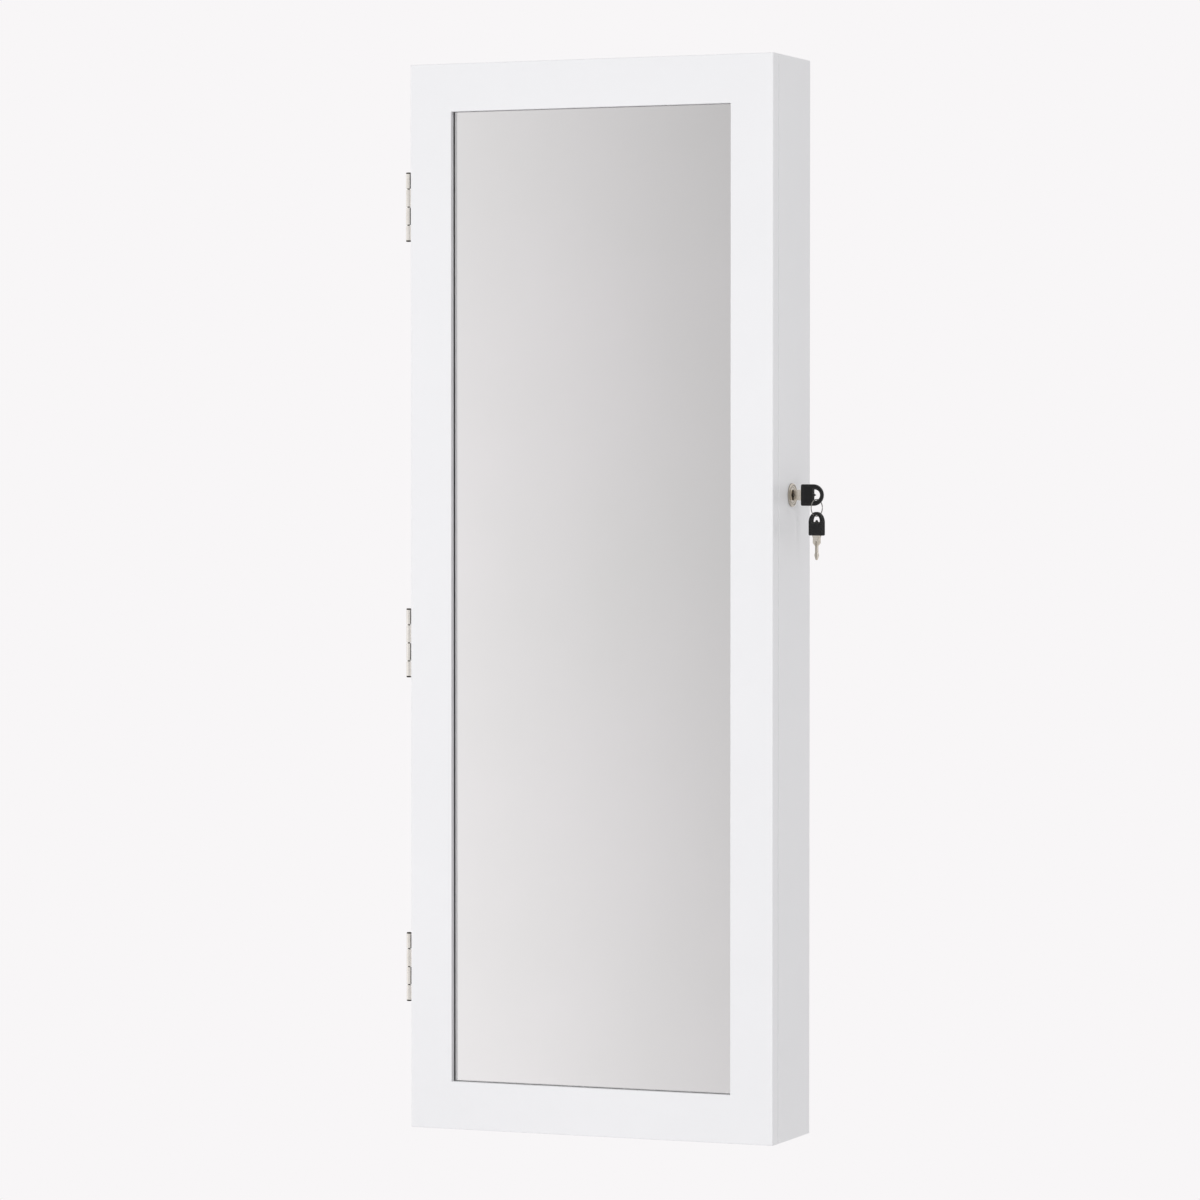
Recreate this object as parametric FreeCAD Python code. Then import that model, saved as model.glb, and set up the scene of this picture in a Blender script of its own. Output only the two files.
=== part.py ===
"""Wall-hung jewelry cabinet with a mirror door, a side cam lock and two keys.

Millimetres. +Z is up, the door faces -Y, the wall is the plane Y = 0 and the lock is on the +X side.
The origin is the centre of the four wall screws, on the wall plane.
Each function builds one named piece, or one group of identical pieces, and main() writes them.
"""

import FreeCAD, Part
import math
import os

V = FreeCAD.Vector
X_AXIS, Y_AXIS, Z_AXIS = V(1, 0, 0), V(0, 1, 0), V(0, 0, 1)

# ---------------------------------------------------------------- overall
WIDTH = 392.0
HEIGHT = 1080.0
DEPTH = 108.0            # wall to the front of the closed door
SEAM = 1.4               # open line between the door and the case

# ---------------------------------------------------------------- case boards
BOARD = 12.0             # sides, top and bottom
BACK_BOARD = 3.0
BACK_REBATE = 6.0        # how far the back board laps onto each case board
BACK_PLAY = 0.3
BOARD_ARRIS = 0.8        # rounding along the outer edges
DOWEL_R = 3.0
DOWEL_IN_BOARD = 8.0     # depth in the side panel
DOWEL_IN_END = 16.0      # depth in the end of the other board
DOWEL_INSET = 24.0       # from the front and rear edges of the case
NAIL_HEAD_R = 1.5
NAIL_HEAD = 0.5
NAIL_R = 0.6
NAIL_LENGTH = 12.0
NAILS_LONG_SIDE = 7
NAILS_SHORT_SIDE = 3
FIT = 0.05               # room round dowels, screws and other fixed fits
RUN = 0.05               # radial room of everything that turns

# ---------------------------------------------------------------- wall fixing
HANG_RAIL_HEIGHT = 45.0
HANG_RAIL = 12.0
WALL_SCREW_FROM_SIDE = 46.0  # screw line inside each side of the case
WALL_SCREW_FROM_END = 43.0   # screw line below the top and above the bottom of the case
WALL_HOLE_R = 2.75

# ---------------------------------------------------------------- inside of the case
LINING = 1.5
SHELF = 9.0
SHELF_DADO = 3.0         # groove depth in the side panels
DOOR_FITTINGS_ROOM = 30.0    # depth kept free behind the closed door
TOP_BAY = 88.0
DISPLAY_BAY = 196.0
MIDDLE_BAY = 180.0
BOTTOM_BAY = 165.0
LEDGE_DEPTH = 42.0
DIVIDER = 9.0
MAT = 1.0
MAT_INSET = 3.0
GUARD_ROD_R = 2.5
GUARD_ROD_SOCKET = 4.0
GUARD_ROD_HEIGHTS = (20.0, 42.0)
GUARD_ROD_SETBACK = 6.0  # rod centre behind the shelf's front edge
GUARD_ROD_ROOM = 1.0     # end play of a rod in its two sockets

CUSHION_ROLLS = 9
CUSHION_SLIT = 2.4
CUSHION_BASE = 10.0
CUSHION_SIDE = 8.0
CUSHION_CROWN = 8.0
CUSHION_ROOM = 0.5

PANEL = 3.0              # perforated earring panel
PANEL_STANDOFF = 22.0
STANDOFF_R = 4.0
STANDOFF_INSET = 14.0
EARRING_COLUMNS = 10
EARRING_ROWS = 9
EARRING_HOLE_R = 1.2
PANEL_MARGIN = 16.0

# ---------------------------------------------------------------- hooks
HOOK_RAIL_HEIGHT = 24.0
HOOK_RAIL = 10.0
HOOKS = 12
HOOK_WIRE_R = 1.2
HOOK_BASE_R = 4.0
HOOK_BASE = 1.4
HOOK_ARM = 8.0
HOOK_BEND_R = 4.0
HOOK_TIP = 5.0
HOOK_BALL_R = 2.0
HOOK_DROP = 4.0          # hook line below the middle of its rail
DOOR_RAIL = 8.0
DOOR_HOOKS = 8
DOOR_RAIL_FROM_TOP = 150.0   # rail centre below the top of the opening
DOOR_RAIL_INSET = 30.0       # rail end inside the opening's edge

# ---------------------------------------------------------------- earring slats on the door
SLATS = 3
SLAT_HEIGHT = 18.0
SLAT = 4.0
SLAT_PITCH = 52.0
SLAT_STANDOFF = 10.0
SLAT_BLOCK = 12.0
SLAT_HOLES = 14
SLAT_FROM_RAIL = 330.0       # first slat below the door's hook rail

# ---------------------------------------------------------------- door
DOOR = 15.0
STILE = 45.0
RAIL = 48.5
LIP = 6.0                # frame in front of the glass
GLASS = 3.0
BACKING = 3.0
GLASS_LAP = 8.0          # glass pocket beyond the opening
GLASS_PLAY = 1.0
PANEL_LAP = 16.0         # inner panel pocket beyond the opening
PANEL_PLAY = 0.3
DOOR_ARRIS = 1.0
OPENING_ARRIS = 0.6
FRAME_DOWEL_HALF = 15.0
FRAME_DOWEL_SPACING = 14.0
PANEL_SCREWS_LONG = 5
PANEL_SCREWS_SHORT = 2
BUMPER_R = 4.0
BUMPER_INSET = 6.0

# ---------------------------------------------------------------- hinges
HINGE_FROM_TOP = (143.0, 587.0)  # centres of the two upper hinges below the top of the cabinet
HINGE_FROM_BOTTOM = 162.0
HINGE_OFFSET = 9.3       # pin axis outside the cabinet's side
BARREL_R = 2.6
PIN_R = 1.2
END_KNUCKLE = 15.1
MID_KNUCKLE = 17.5
KNUCKLE_GAP = 0.9
KNUCKLE_EDGE = 0.3       # chamfer at each end of a knuckle
PIN_HEAD_R = 2.5
PIN_HEAD = 1.3
LEAF = 1.2
LEAF_GAP = 0.4           # between the two leaves of a closed hinge
LEAF_OVER_WOOD = 11.5
LEAF_NOTCH_ROOM = 0.5
HINGE_SCREW_SPACING = 25.0

# ---------------------------------------------------------------- screws
SCREW_R = 1.5
SCREW_HEAD_R = 2.9
SCREW_HEAD = 1.5
HINGE_SCREW_LENGTH = 12.0
PANEL_SCREW_LENGTH = 9.0
SMALL_SCREW_LENGTH = 10.0
DRIVE_R = 1.3
DRIVE_DEPTH = 0.7
DRIVE_WIDTH = 0.5

# ---------------------------------------------------------------- lock
LOCK_FROM_TOP = 436.0
LOCK_FROM_FRONT = 54.0
FLANGE = 2.0
FLANGE_ARRIS = 0.9
BODY_R = 9.3
FLANGE_LAP = 2.5         # flange beyond the body
FLANGE_BEAD = 1.8        # flange outside the turned groove in its face
FLANGE_GROOVE_WIDTH = 0.8
FLANGE_GROOVE = 0.5
SEAT_EDGE = 0.35         # chamfers where the plug's face meets the flange
BODY_LENGTH = 22.0       # behind the flange
BODY_FLAT_DEPTH = 1.3
BODY_HOLE_ROOM = 0.2
NUT_WALL = 2.7           # thread to the middle of a flat
NUT = 4.0
PLUG_R = 6.5
PLUG_HEAD_LAP = 1.0
PLUG_HEAD = 1.6
PLUG_SINK = 0.4          # plug face behind the flange face
PLUG_TAIL = 0.4          # plug beyond the end of the lock body
MOUTH_PLAY = 0.3         # round the key's collar
MOUTH_DEPTH = 3.6
KEYWAY_PLAY = 0.2        # above and below the key's bulb
KEYWAY_SIDE_PLAY = 0.1
KEYWAY_BEYOND = 1.9      # past the key's tip
CAM = 2.0
CAM_SQUARE = 7.0
CAM_HALF = 4.0           # half width of the arm
CAM_HUB_R = 7.5
CAM_REACH = 28.0         # axis to the outer edge of the hook
CAM_HOOK = 4.0           # thickness of the hook
CAM_HOOK_RISE = 9.0      # axis to the hook's tip, along the turn
CAM_SCREW_R = 2.0
CAM_SCREW_LENGTH = 8.0
CAM_SCREW_HEAD_R = 4.2
CAM_SCREW_HEAD = 2.4

# ---------------------------------------------------------------- striker on the door
STRIKER = 1.5
STRIKER_WIDTH = 10.0
STRIKER_OVER_AXIS = 10.0     # underside of the arm above the lock's axis
STRIKER_LIP_AT = 20.0        # rear face of the lip, from the lock's axis towards the door
STRIKER_LIP_LOW = 5.0        # lip's lower edge above the lock's axis
STRIKER_FLANGE_HEIGHT = 28.0
STRIKER_SCREW_LOW = 8.0
STRIKER_SCREW_PITCH = 13.0

# ---------------------------------------------------------------- magnetic catch
CATCH_FROM_BOTTOM = 250.0
CATCH_HEIGHT = 44.0
CATCH_WIDTH = 13.0
CATCH_DEPTH = 16.0
MAGNET_HEIGHT = 26.0
MAGNET_WIDTH = 8.0
MAGNET_DEPTH = 6.0
CATCH_PLATE = 0.8
CATCH_PLATE_HEIGHT = 38.0
CATCH_PLATE_WIDTH = 10.0

# ---------------------------------------------------------------- keys
KEY_HEAD_LENGTH = 23.6
KEY_HEAD_R = 10.75       # half the head's width, and the radius of its round end
KEY_HEAD = 3.4
KEY_HEAD_CORNER = 1.5
KEY_HEAD_EDGE = 0.6
KEY_RELIEF = 0.45
KEY_RELIEF_SLOPE = 0.9   # width of the field's sloping border
KEY_RIM = 1.7
KEY_EYE_R = 5.5
KEY_EYE_RIM = 3.4        # head beyond the eye
KEY_EYE_FLAT = 1.1       # flat side of the eye, before the middle of its arc
KEY_EYE_BUMP = 2.0
KEY_EYE_BUMP_HALF = 1.4
KEY_BLADE = 1.8
KEY_BLADE_EDGE = 0.35
KEY_SHOULDER = 1.6       # length of the thicker band next to the head
KEY_SHOULDER_LAP = 0.35
KEY_COLLAR_LENGTH = 7.6
KEY_COLLAR_HALF = 5.2
KEY_TAPER = 2.9
KEY_STEM_HALF = 1.9
KEY_STEM_LENGTH = 6.4
KEY_BULB_HALF = 2.8
KEY_BULB_LENGTH = 7.6
KEY_BULB_RISE = 1.8      # from the stem to the bulb's full width
KEY_BULB_FLAT = 1.6
KEY_POINT = 1.0          # length of the rounded point
KEY_POINT_HALF = 1.2
KEY_GROOVE_HALF = 0.5
KEY_GROOVE = 0.45
KEY_GROOVE_START = 2.0   # before the collar's end
KEY_TANG_LENGTH = 7.0
KEY_TANG_HALF = 3.6
KEY_OUT = 10.1           # near end of the head from the cabinet's side
RING_R = 8.4             # to the middle of the wire
RING_WIRE_R = 0.5
RING_GAP = 0.4
RING_AT = 16.4           # ring centre along the head, from its near end
RING_TURN = 22.0         # the ring's plane, from square to the key in the lock
RING_SEAT = 0.9          # wire's middle above the edge of the eye that carries it
SPARE_SEAT = 1.0         # the same, under the edge of the hanging key's eye
SPARE_TURN = 27.5        # the hanging key, from the plane of the key in the lock


# ---------------------------------------------------------------- places worked out from the sizes
LEFT, RIGHT = -WIDTH / 2, WIDTH / 2
TOP, BOTTOM = HEIGHT / 2, -HEIGHT / 2
CASE_FRONT = -(DEPTH - DOOR - SEAM)
DOOR_BACK = CASE_FRONT - SEAM
DOOR_FRONT = -DEPTH
INNER_LEFT, INNER_RIGHT = LEFT + BOARD, RIGHT - BOARD
INNER_TOP, INNER_BOTTOM = TOP - BOARD, BOTTOM + BOARD
BACK_FACE = -BACK_BOARD
LINING_FACE = BACK_FACE - LINING
SHELF_FRONT = CASE_FRONT + DOOR_FITTINGS_ROOM
UPPER_SHELF_TOP = INNER_TOP - TOP_BAY
LEDGE_TOP = UPPER_SHELF_TOP - SHELF - DISPLAY_BAY
LOWER_SHELF_TOP = INNER_BOTTOM + BOTTOM_BAY + SHELF
MIDDLE_SHELF_TOP = LOWER_SHELF_TOP + MIDDLE_BAY + SHELF
LEDGE_FRONT = LINING_FACE - LEDGE_DEPTH
OPEN_X = WIDTH / 2 - STILE
OPEN_TOP, OPEN_BOTTOM = TOP - RAIL, BOTTOM + RAIL
GLASS_FRONT = DOOR_FRONT + LIP
GLASS_BACK = GLASS_FRONT + GLASS
BACKING_BACK = GLASS_BACK + BACKING
PIN_X, PIN_Y = LEFT - HINGE_OFFSET, (CASE_FRONT + DOOR_BACK) / 2
HINGE_ZS = tuple(TOP - drop for drop in HINGE_FROM_TOP) + (BOTTOM + HINGE_FROM_BOTTOM,)
BARREL = 2 * END_KNUCKLE + 2 * MID_KNUCKLE + 3 * KNUCKLE_GAP
LOCK_Y, LOCK_Z = DOOR_FRONT + LOCK_FROM_FRONT, TOP - LOCK_FROM_TOP
PLUG_FACE = RIGHT + FLANGE - PLUG_SINK
BODY_END = RIGHT - BODY_LENGTH
PLUG_END = BODY_END - PLUG_TAIL
CAM_BACK = PLUG_END - CAM
KEY_U = RIGHT + KEY_OUT
KEY_TIP = KEY_U - KEY_COLLAR_LENGTH - KEY_TAPER - KEY_STEM_LENGTH - KEY_BULB_LENGTH
FLANGE_R = BODY_R + FLANGE_LAP
PLUG_HEAD_R = PLUG_R + PLUG_HEAD_LAP
LEAF_SINK = LEAF - (SEAM - LEAF_GAP) / 2


# ---------------------------------------------------------------- small helpers
def box(x0, x1, y0, y1, z0, z1):
    """Box between two values on each axis."""
    return Part.makeBox(x1 - x0, y1 - y0, z1 - z0, V(x0, y0, z0))


def rod(radius, length, point, direction):
    """Cylinder from a point along a direction."""
    return Part.makeCylinder(radius, length, point, direction)


def spread(first, last, count):
    """Evenly spaced values from first to last, both included."""
    return [first + (last - first) * i / (count - 1) for i in range(count)]


def inside(first, last, count):
    """Evenly spaced values between two ends, with half a step left at each end."""
    step = (last - first) / count
    return [first + step * (i + 0.5) for i in range(count)]


def moved(shape, x=0.0, y=0.0, z=0.0):
    """Copy of a shape, shifted."""
    copy = shape.copy()
    copy.translate(V(x, y, z))
    return copy


def edges_at(shape, direction, test):
    """Straight edges along a direction whose middle passes a test."""
    found = []
    for edge in shape.Edges:
        if len(edge.Vertexes) != 2:
            continue
        run = edge.Vertexes[1].Point - edge.Vertexes[0].Point
        if run.Length > 0.3 and abs(run.normalize().dot(direction)) > 0.999:
            if test(edge.CenterOfMass):
                found.append(edge)
    return found


def outline(points):
    """Closed flat face through points; a pair (middle, end) makes an arc."""
    edges, last = [], points[0]
    for item in points[1:] + [points[0]]:
        if isinstance(item, tuple):
            edges.append(Part.Arc(last, item[0], item[1]).toShape())
            last = item[1]
        elif (item - last).Length > 1e-6:
            edges.append(Part.LineSegment(last, item).toShape())
            last = item
    return Part.Face(Part.Wire(edges))


def screw(point, direction, length, room=0.0, drive=True):
    """Countersunk screw with its flat head face at point, driven along direction."""
    head = Part.makeCone(SCREW_HEAD_R + room, SCREW_R + room, SCREW_HEAD, point, direction)
    shank = rod(SCREW_R + room, length - SCREW_R + room, point, direction)
    tip = Part.makeCone(SCREW_R + room, 0.4, SCREW_R, point + direction * (length - SCREW_R + room), direction)
    body = head.fuse([shank, tip]).removeSplitter()
    if not drive:
        return body
    side = V(direction.y, direction.z, direction.x)
    cross = [bar_along(point, direction, axis) for axis in (side, direction.cross(side))]
    return body.cut(cross)


def bar_along(point, direction, across):
    """One bar of a cross recess in a screw head."""
    third = direction.cross(across)
    corner = point - across * DRIVE_R - third * (DRIVE_WIDTH / 2) - direction * 0.1
    bar = Part.makePolygon([corner, corner + across * 2 * DRIVE_R,
                            corner + across * 2 * DRIVE_R + third * DRIVE_WIDTH,
                            corner + third * DRIVE_WIDTH, corner])
    return Part.Face(bar).extrude(direction * (DRIVE_DEPTH + 0.1))


def screw_hole(point, direction, length):
    """The hole that a screw sits in."""
    return screw(point, direction, length, room=FIT, drive=False)


# ---------------------------------------------------------------- case joinery
def case_dowel_places():
    """Start points and directions of the dowels between the sides and the top and bottom."""
    places = []
    for z in (TOP - BOARD / 2, BOTTOM + BOARD / 2):
        for y in (CASE_FRONT + DOWEL_INSET, -DOWEL_INSET):
            places.append((V(INNER_LEFT, y, z), 1))
            places.append((V(INNER_RIGHT, y, z), -1))
    return places


def case_dowel(place, room=0.0):
    point, inward = place
    start = point - X_AXIS * (inward * (DOWEL_IN_BOARD - 0.5 + room))
    return rod(DOWEL_R + room, DOWEL_IN_BOARD + DOWEL_IN_END - 1.0 + 2 * room, start, X_AXIS * inward)


def dowel_holes():
    return [case_dowel(place, room=FIT) for place in case_dowel_places()]


def back_pocket():
    """Rebate in the rear of the four case boards."""
    reach = BACK_REBATE
    return box(INNER_LEFT - reach, INNER_RIGHT + reach, BACK_FACE, 1.0,
               INNER_BOTTOM - reach, INNER_TOP + reach)


def nail_places():
    """Points on the back board, over the middle of its lap."""
    lap = BACK_REBATE / 2
    xs = (INNER_LEFT - lap, INNER_RIGHT + lap)
    zs = (INNER_BOTTOM - lap, INNER_TOP + lap)
    places = [(x, z) for x in xs for z in inside(zs[0], zs[1], NAILS_LONG_SIDE)]
    places += [(x, z) for z in zs for x in inside(xs[0], xs[1], NAILS_SHORT_SIDE)]
    return places


def nail(x, z, room=0.0):
    """Flat-headed nail, its head flush with the back board."""
    head = rod(NAIL_HEAD_R + room, NAIL_HEAD + room, V(x, 0, z), -Y_AXIS)
    return head.fuse(rod(NAIL_R + room, NAIL_LENGTH + room, V(x, 0, z), -Y_AXIS)).removeSplitter()


def nail_holes():
    return [nail(x, z, room=FIT) for x, z in nail_places()]


def wall_screw_places():
    zs = (BOTTOM + WALL_SCREW_FROM_END, TOP - WALL_SCREW_FROM_END)
    return [(x, z) for x in (LEFT + WALL_SCREW_FROM_SIDE, RIGHT - WALL_SCREW_FROM_SIDE) for z in zs]


def wall_holes():
    return [rod(WALL_HOLE_R, DEPTH, V(x, 1, z), -Y_AXIS) for x, z in wall_screw_places()]


def shelf_places():
    """Top face and front edge of every board that runs between the sides."""
    return [(UPPER_SHELF_TOP, SHELF_FRONT), (LEDGE_TOP, LEDGE_FRONT),
            (MIDDLE_SHELF_TOP, SHELF_FRONT), (LOWER_SHELF_TOP, SHELF_FRONT)]


def shelf_grooves():
    reach = SHELF_DADO
    return [box(INNER_LEFT - reach, INNER_RIGHT + reach, front - FIT, LINING_FACE + 0.1, top - SHELF - FIT, top + FIT)
            for top, front in shelf_places()]


def guard_rod_places():
    """Height and depth of each guard rod."""
    y = SHELF_FRONT + GUARD_ROD_SETBACK
    floors = (UPPER_SHELF_TOP, MIDDLE_SHELF_TOP, LOWER_SHELF_TOP, INNER_BOTTOM)
    return [(y, floor + rise) for floor in floors for rise in GUARD_ROD_HEIGHTS]


def guard_rod(y, z, room=0.0, short=0.0):
    start = INNER_LEFT - GUARD_ROD_SOCKET + short
    length = INNER_RIGHT - INNER_LEFT + 2 * GUARD_ROD_SOCKET - 2 * short
    return rod(GUARD_ROD_R + room, length, V(start, y, z), X_AXIS)


def rod_sockets():
    return [guard_rod(y, z, room=FIT) for y, z in guard_rod_places()]


# ---------------------------------------------------------------- hinges
def knuckle_spans():
    """Low and high end of each knuckle, from the barrel's middle, top first."""
    spans, z = [], BARREL / 2
    for length in (END_KNUCKLE, MID_KNUCKLE, MID_KNUCKLE, END_KNUCKLE):
        spans.append((z - length, z))
        z -= length + KNUCKLE_GAP
    return spans


def hinge_screw_spots():
    return (-HINGE_SCREW_SPACING, 0.0, HINGE_SCREW_SPACING)


def leaf(owner, side):
    """One hinge leaf about z = 0. owner is 0 for the case and 1 for the door; side is +1 or -1 in Y."""
    face = PIN_Y + side * LEAF_GAP / 2
    y0, y1 = sorted((face, face + side * LEAF))
    x1 = LEFT + LEAF_OVER_WOOD
    plate = box(PIN_X, x1, y0, y1, -BARREL / 2, BARREL / 2)
    notch, knuckles = [], []
    for index, (low, high) in enumerate(knuckle_spans()):
        if index % 2 == owner:
            knuckle = rod(BARREL_R, high - low, V(PIN_X, PIN_Y, low), Z_AXIS)
            knuckles.append(knuckle.makeChamfer(KNUCKLE_EDGE, [e for e in knuckle.Edges if len(e.Vertexes) == 1]))
        else:
            reach = BARREL_R + LEAF_NOTCH_ROOM
            gap = KNUCKLE_GAP
            notch.append(box(PIN_X - 1, PIN_X + reach, PIN_Y - 5, PIN_Y + 5, low - gap, high + gap))
    shape = plate.cut(notch).fuse(knuckles).removeSplitter()
    bore = rod(PIN_R + RUN, BARREL + 2, V(PIN_X, PIN_Y, -BARREL / 2 - 1), Z_AXIS)
    holes = [screw_hole(V(LEFT + BOARD / 2, face, z), Y_AXIS * side, HINGE_SCREW_LENGTH) for z in hinge_screw_spots()]
    return shape.cut([bore] + holes)


def hinge_mortises(side):
    """Pockets for the leaves in the case (side +1) or in the door (side -1)."""
    edge = CASE_FRONT if side > 0 else DOOR_BACK
    half = BARREL / 2 + FIT
    cuts = []
    for z in HINGE_ZS:
        y0, y1 = sorted((edge - side * 1.0, edge + side * (LEAF_SINK + FIT)))
        cuts.append(box(LEFT - 1, LEFT + LEAF_OVER_WOOD + FIT, y0, y1, z - half, z + half))
    return cuts


def hinge_screw_places(side):
    face = PIN_Y + side * LEAF_GAP / 2
    return [V(LEFT + BOARD / 2, face, z + dz) for z in HINGE_ZS for dz in hinge_screw_spots()]


def hinge_screw_holes(side):
    return [screw_hole(p, Y_AXIS * side, HINGE_SCREW_LENGTH) for p in hinge_screw_places(side)]


def hinge_screws(side):
    return [screw(p, Y_AXIS * side, HINGE_SCREW_LENGTH) for p in hinge_screw_places(side)]


def hinge_pins():
    """Headed pins, one for each hinge."""
    pins = []
    for z in HINGE_ZS:
        low, high = z - BARREL / 2, z + BARREL / 2
        shaft = rod(PIN_R, BARREL, V(PIN_X, PIN_Y, low), Z_AXIS)
        heads = [rod(PIN_HEAD_R, PIN_HEAD, V(PIN_X, PIN_Y, high), Z_AXIS),
                 rod(PIN_HEAD_R, PIN_HEAD, V(PIN_X, PIN_Y, low), -Z_AXIS)]
        pin = shaft.fuse(heads).removeSplitter()
        rims = [e for e in pin.Edges if abs(abs(e.CenterOfMass.z - z) - BARREL / 2 - PIN_HEAD) < 0.01
                and len(e.Vertexes) == 1]
        pins.append(pin.makeFillet(PIN_HEAD * 0.6, rims))
    return pins


# ---------------------------------------------------------------- case boards
def side_panel(sign):
    """Left (-1) or right (+1) side of the case."""
    x0, x1 = (INNER_RIGHT, RIGHT) if sign > 0 else (LEFT, INNER_LEFT)
    panel = box(x0, x1, CASE_FRONT, 0, BOTTOM, TOP)
    outer = RIGHT if sign > 0 else LEFT
    corners = edges_at(panel, Z_AXIS, lambda p: abs(p.x - outer) < 0.01)
    panel = panel.makeFillet(BOARD_ARRIS, corners)
    cuts = [back_pocket()] + dowel_holes() + shelf_grooves() + rod_sockets() + nail_holes()
    if sign > 0:
        cuts.append(rod(BODY_R + BODY_HOLE_ROOM, BOARD + 2, V(INNER_RIGHT - 1, LOCK_Y, LOCK_Z), X_AXIS))
    else:
        cuts += hinge_mortises(+1) + hinge_screw_holes(+1)
    return panel.cut(cuts)


def end_panel(sign):
    """Top (+1) or bottom (-1) of the case."""
    z0, z1 = (INNER_TOP, TOP) if sign > 0 else (BOTTOM, INNER_BOTTOM)
    panel = box(INNER_LEFT, INNER_RIGHT, CASE_FRONT, 0, z0, z1)
    return panel.cut([back_pocket()] + dowel_holes() + nail_holes())


def case_back():
    reach = BACK_REBATE - BACK_PLAY
    board = box(INNER_LEFT - reach, INNER_RIGHT + reach, BACK_FACE, 0, INNER_BOTTOM - reach, INNER_TOP + reach)
    return board.cut(wall_holes() + nail_holes())


def back_nails():
    return [nail(x, z) for x, z in nail_places()]


def case_dowels():
    return [case_dowel(place) for place in case_dowel_places()]


def hanging_rail(sign):
    """Batten behind the back's upper (+1) or lower (-1) screws."""
    if sign > 0:
        z0, z1 = INNER_TOP - HANG_RAIL_HEIGHT, INNER_TOP
    else:
        z0, z1 = INNER_BOTTOM, INNER_BOTTOM + HANG_RAIL_HEIGHT
    rail = box(INNER_LEFT, INNER_RIGHT, BACK_FACE - HANG_RAIL, BACK_FACE, z0, z1)
    front = edges_at(rail, X_AXIS, lambda p: abs(p.y - (BACK_FACE - HANG_RAIL)) < 0.01
                     and abs(p.z - (z0 if sign > 0 else z1)) < 0.01)
    return rail.makeFillet(BOARD_ARRIS * 2, front).cut(wall_holes())


# ---------------------------------------------------------------- inside fittings
def back_lining():
    """Flocked board between the two hanging rails."""
    return box(INNER_LEFT, INNER_RIGHT, LINING_FACE, BACK_FACE,
               INNER_BOTTOM + HANG_RAIL_HEIGHT, INNER_TOP - HANG_RAIL_HEIGHT)


def shelf(top, front):
    """Board housed in the side panels' grooves."""
    reach = SHELF_DADO - FIT
    board = box(INNER_LEFT - reach, INNER_RIGHT + reach, front, LINING_FACE, top - SHELF, top)
    nose = edges_at(board, X_AXIS, lambda p: abs(p.y - front) < 0.01)
    return board.makeFillet(BOARD_ARRIS, nose)


def shelf_mats():
    """Thin flocked mats on the shelves and on the bottom."""
    mats = []
    for floor, front, rear in ((UPPER_SHELF_TOP, SHELF_FRONT, LINING_FACE),
                               (MIDDLE_SHELF_TOP, SHELF_FRONT, LINING_FACE),
                               (LOWER_SHELF_TOP, SHELF_FRONT, LINING_FACE),
                               (INNER_BOTTOM, SHELF_FRONT, BACK_FACE - HANG_RAIL)):
        mats.append(box(INNER_LEFT + MAT_INSET, INNER_RIGHT - MAT_INSET, front + MAT_INSET,
                        rear - MAT_INSET / 3, floor, floor + MAT))
    return mats


def guard_rods():
    return [guard_rod(y, z, short=GUARD_ROD_ROOM / 2) for y, z in guard_rod_places()]


def divider():
    board = box(-DIVIDER / 2, DIVIDER / 2, LEDGE_FRONT, LINING_FACE, LEDGE_TOP, UPPER_SHELF_TOP - SHELF)
    nose = edges_at(board, Z_AXIS, lambda p: abs(p.y - LEDGE_FRONT) < 0.01)
    return board.makeFillet(BOARD_ARRIS, nose)


def ring_cushion():
    """Foam pad with rolls across it; a ring stands in each slit between two rolls."""
    low, high = LEDGE_TOP + 0.3, UPPER_SHELF_TOP - SHELF - CUSHION_ROOM
    back = LINING_FACE - 0.3
    floor, shoulder = back - CUSHION_BASE, back - CUSHION_BASE - CUSHION_SIDE
    crown = shoulder - CUSHION_CROWN
    pitch = (high - low) / CUSHION_ROLLS
    x0 = INNER_LEFT + CUSHION_ROOM
    points = [V(x0, back, high), V(x0, back, low)]
    for i in range(CUSHION_ROLLS):
        z0 = low + pitch * i + (CUSHION_SLIT / 2 if i else 0.0)
        z1 = low + pitch * (i + 1) - (CUSHION_SLIT / 2 if i < CUSHION_ROLLS - 1 else 0.0)
        points += [V(x0, floor, z0), V(x0, shoulder, z0)]
        points += [(V(x0, crown, (z0 + z1) / 2), V(x0, shoulder, z1)), V(x0, floor, z1)]
    return outline(points).extrude(X_AXIS * (-DIVIDER / 2 - CUSHION_ROOM - x0))


def panel_front():
    return LINING_FACE - PANEL_STANDOFF - PANEL


def earring_panel():
    """Perforated panel in the right display bay."""
    x0, x1 = DIVIDER / 2, INNER_RIGHT
    z0, z1 = LEDGE_TOP, UPPER_SHELF_TOP - SHELF
    panel = box(x0, x1, panel_front(), panel_front() + PANEL, z0, z1)
    holes = [rod(EARRING_HOLE_R, PANEL + 2, V(x, panel_front() - 1, z), Y_AXIS)
             for x in spread(x0 + PANEL_MARGIN, x1 - PANEL_MARGIN, EARRING_COLUMNS)
             for z in spread(z0 + PANEL_MARGIN, z1 - PANEL_MARGIN, EARRING_ROWS)]
    return panel.cut(holes)


def panel_standoffs():
    """Posts that hold the perforated panel off the lining."""
    xs = (DIVIDER / 2 + STANDOFF_INSET / 2, INNER_RIGHT - STANDOFF_INSET / 2)
    zs = (LEDGE_TOP + STANDOFF_INSET / 2, UPPER_SHELF_TOP - SHELF - STANDOFF_INSET / 2)
    return [rod(STANDOFF_R, PANEL_STANDOFF, V(x, LINING_FACE, z), -Y_AXIS) for x in xs for z in zs]


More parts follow.
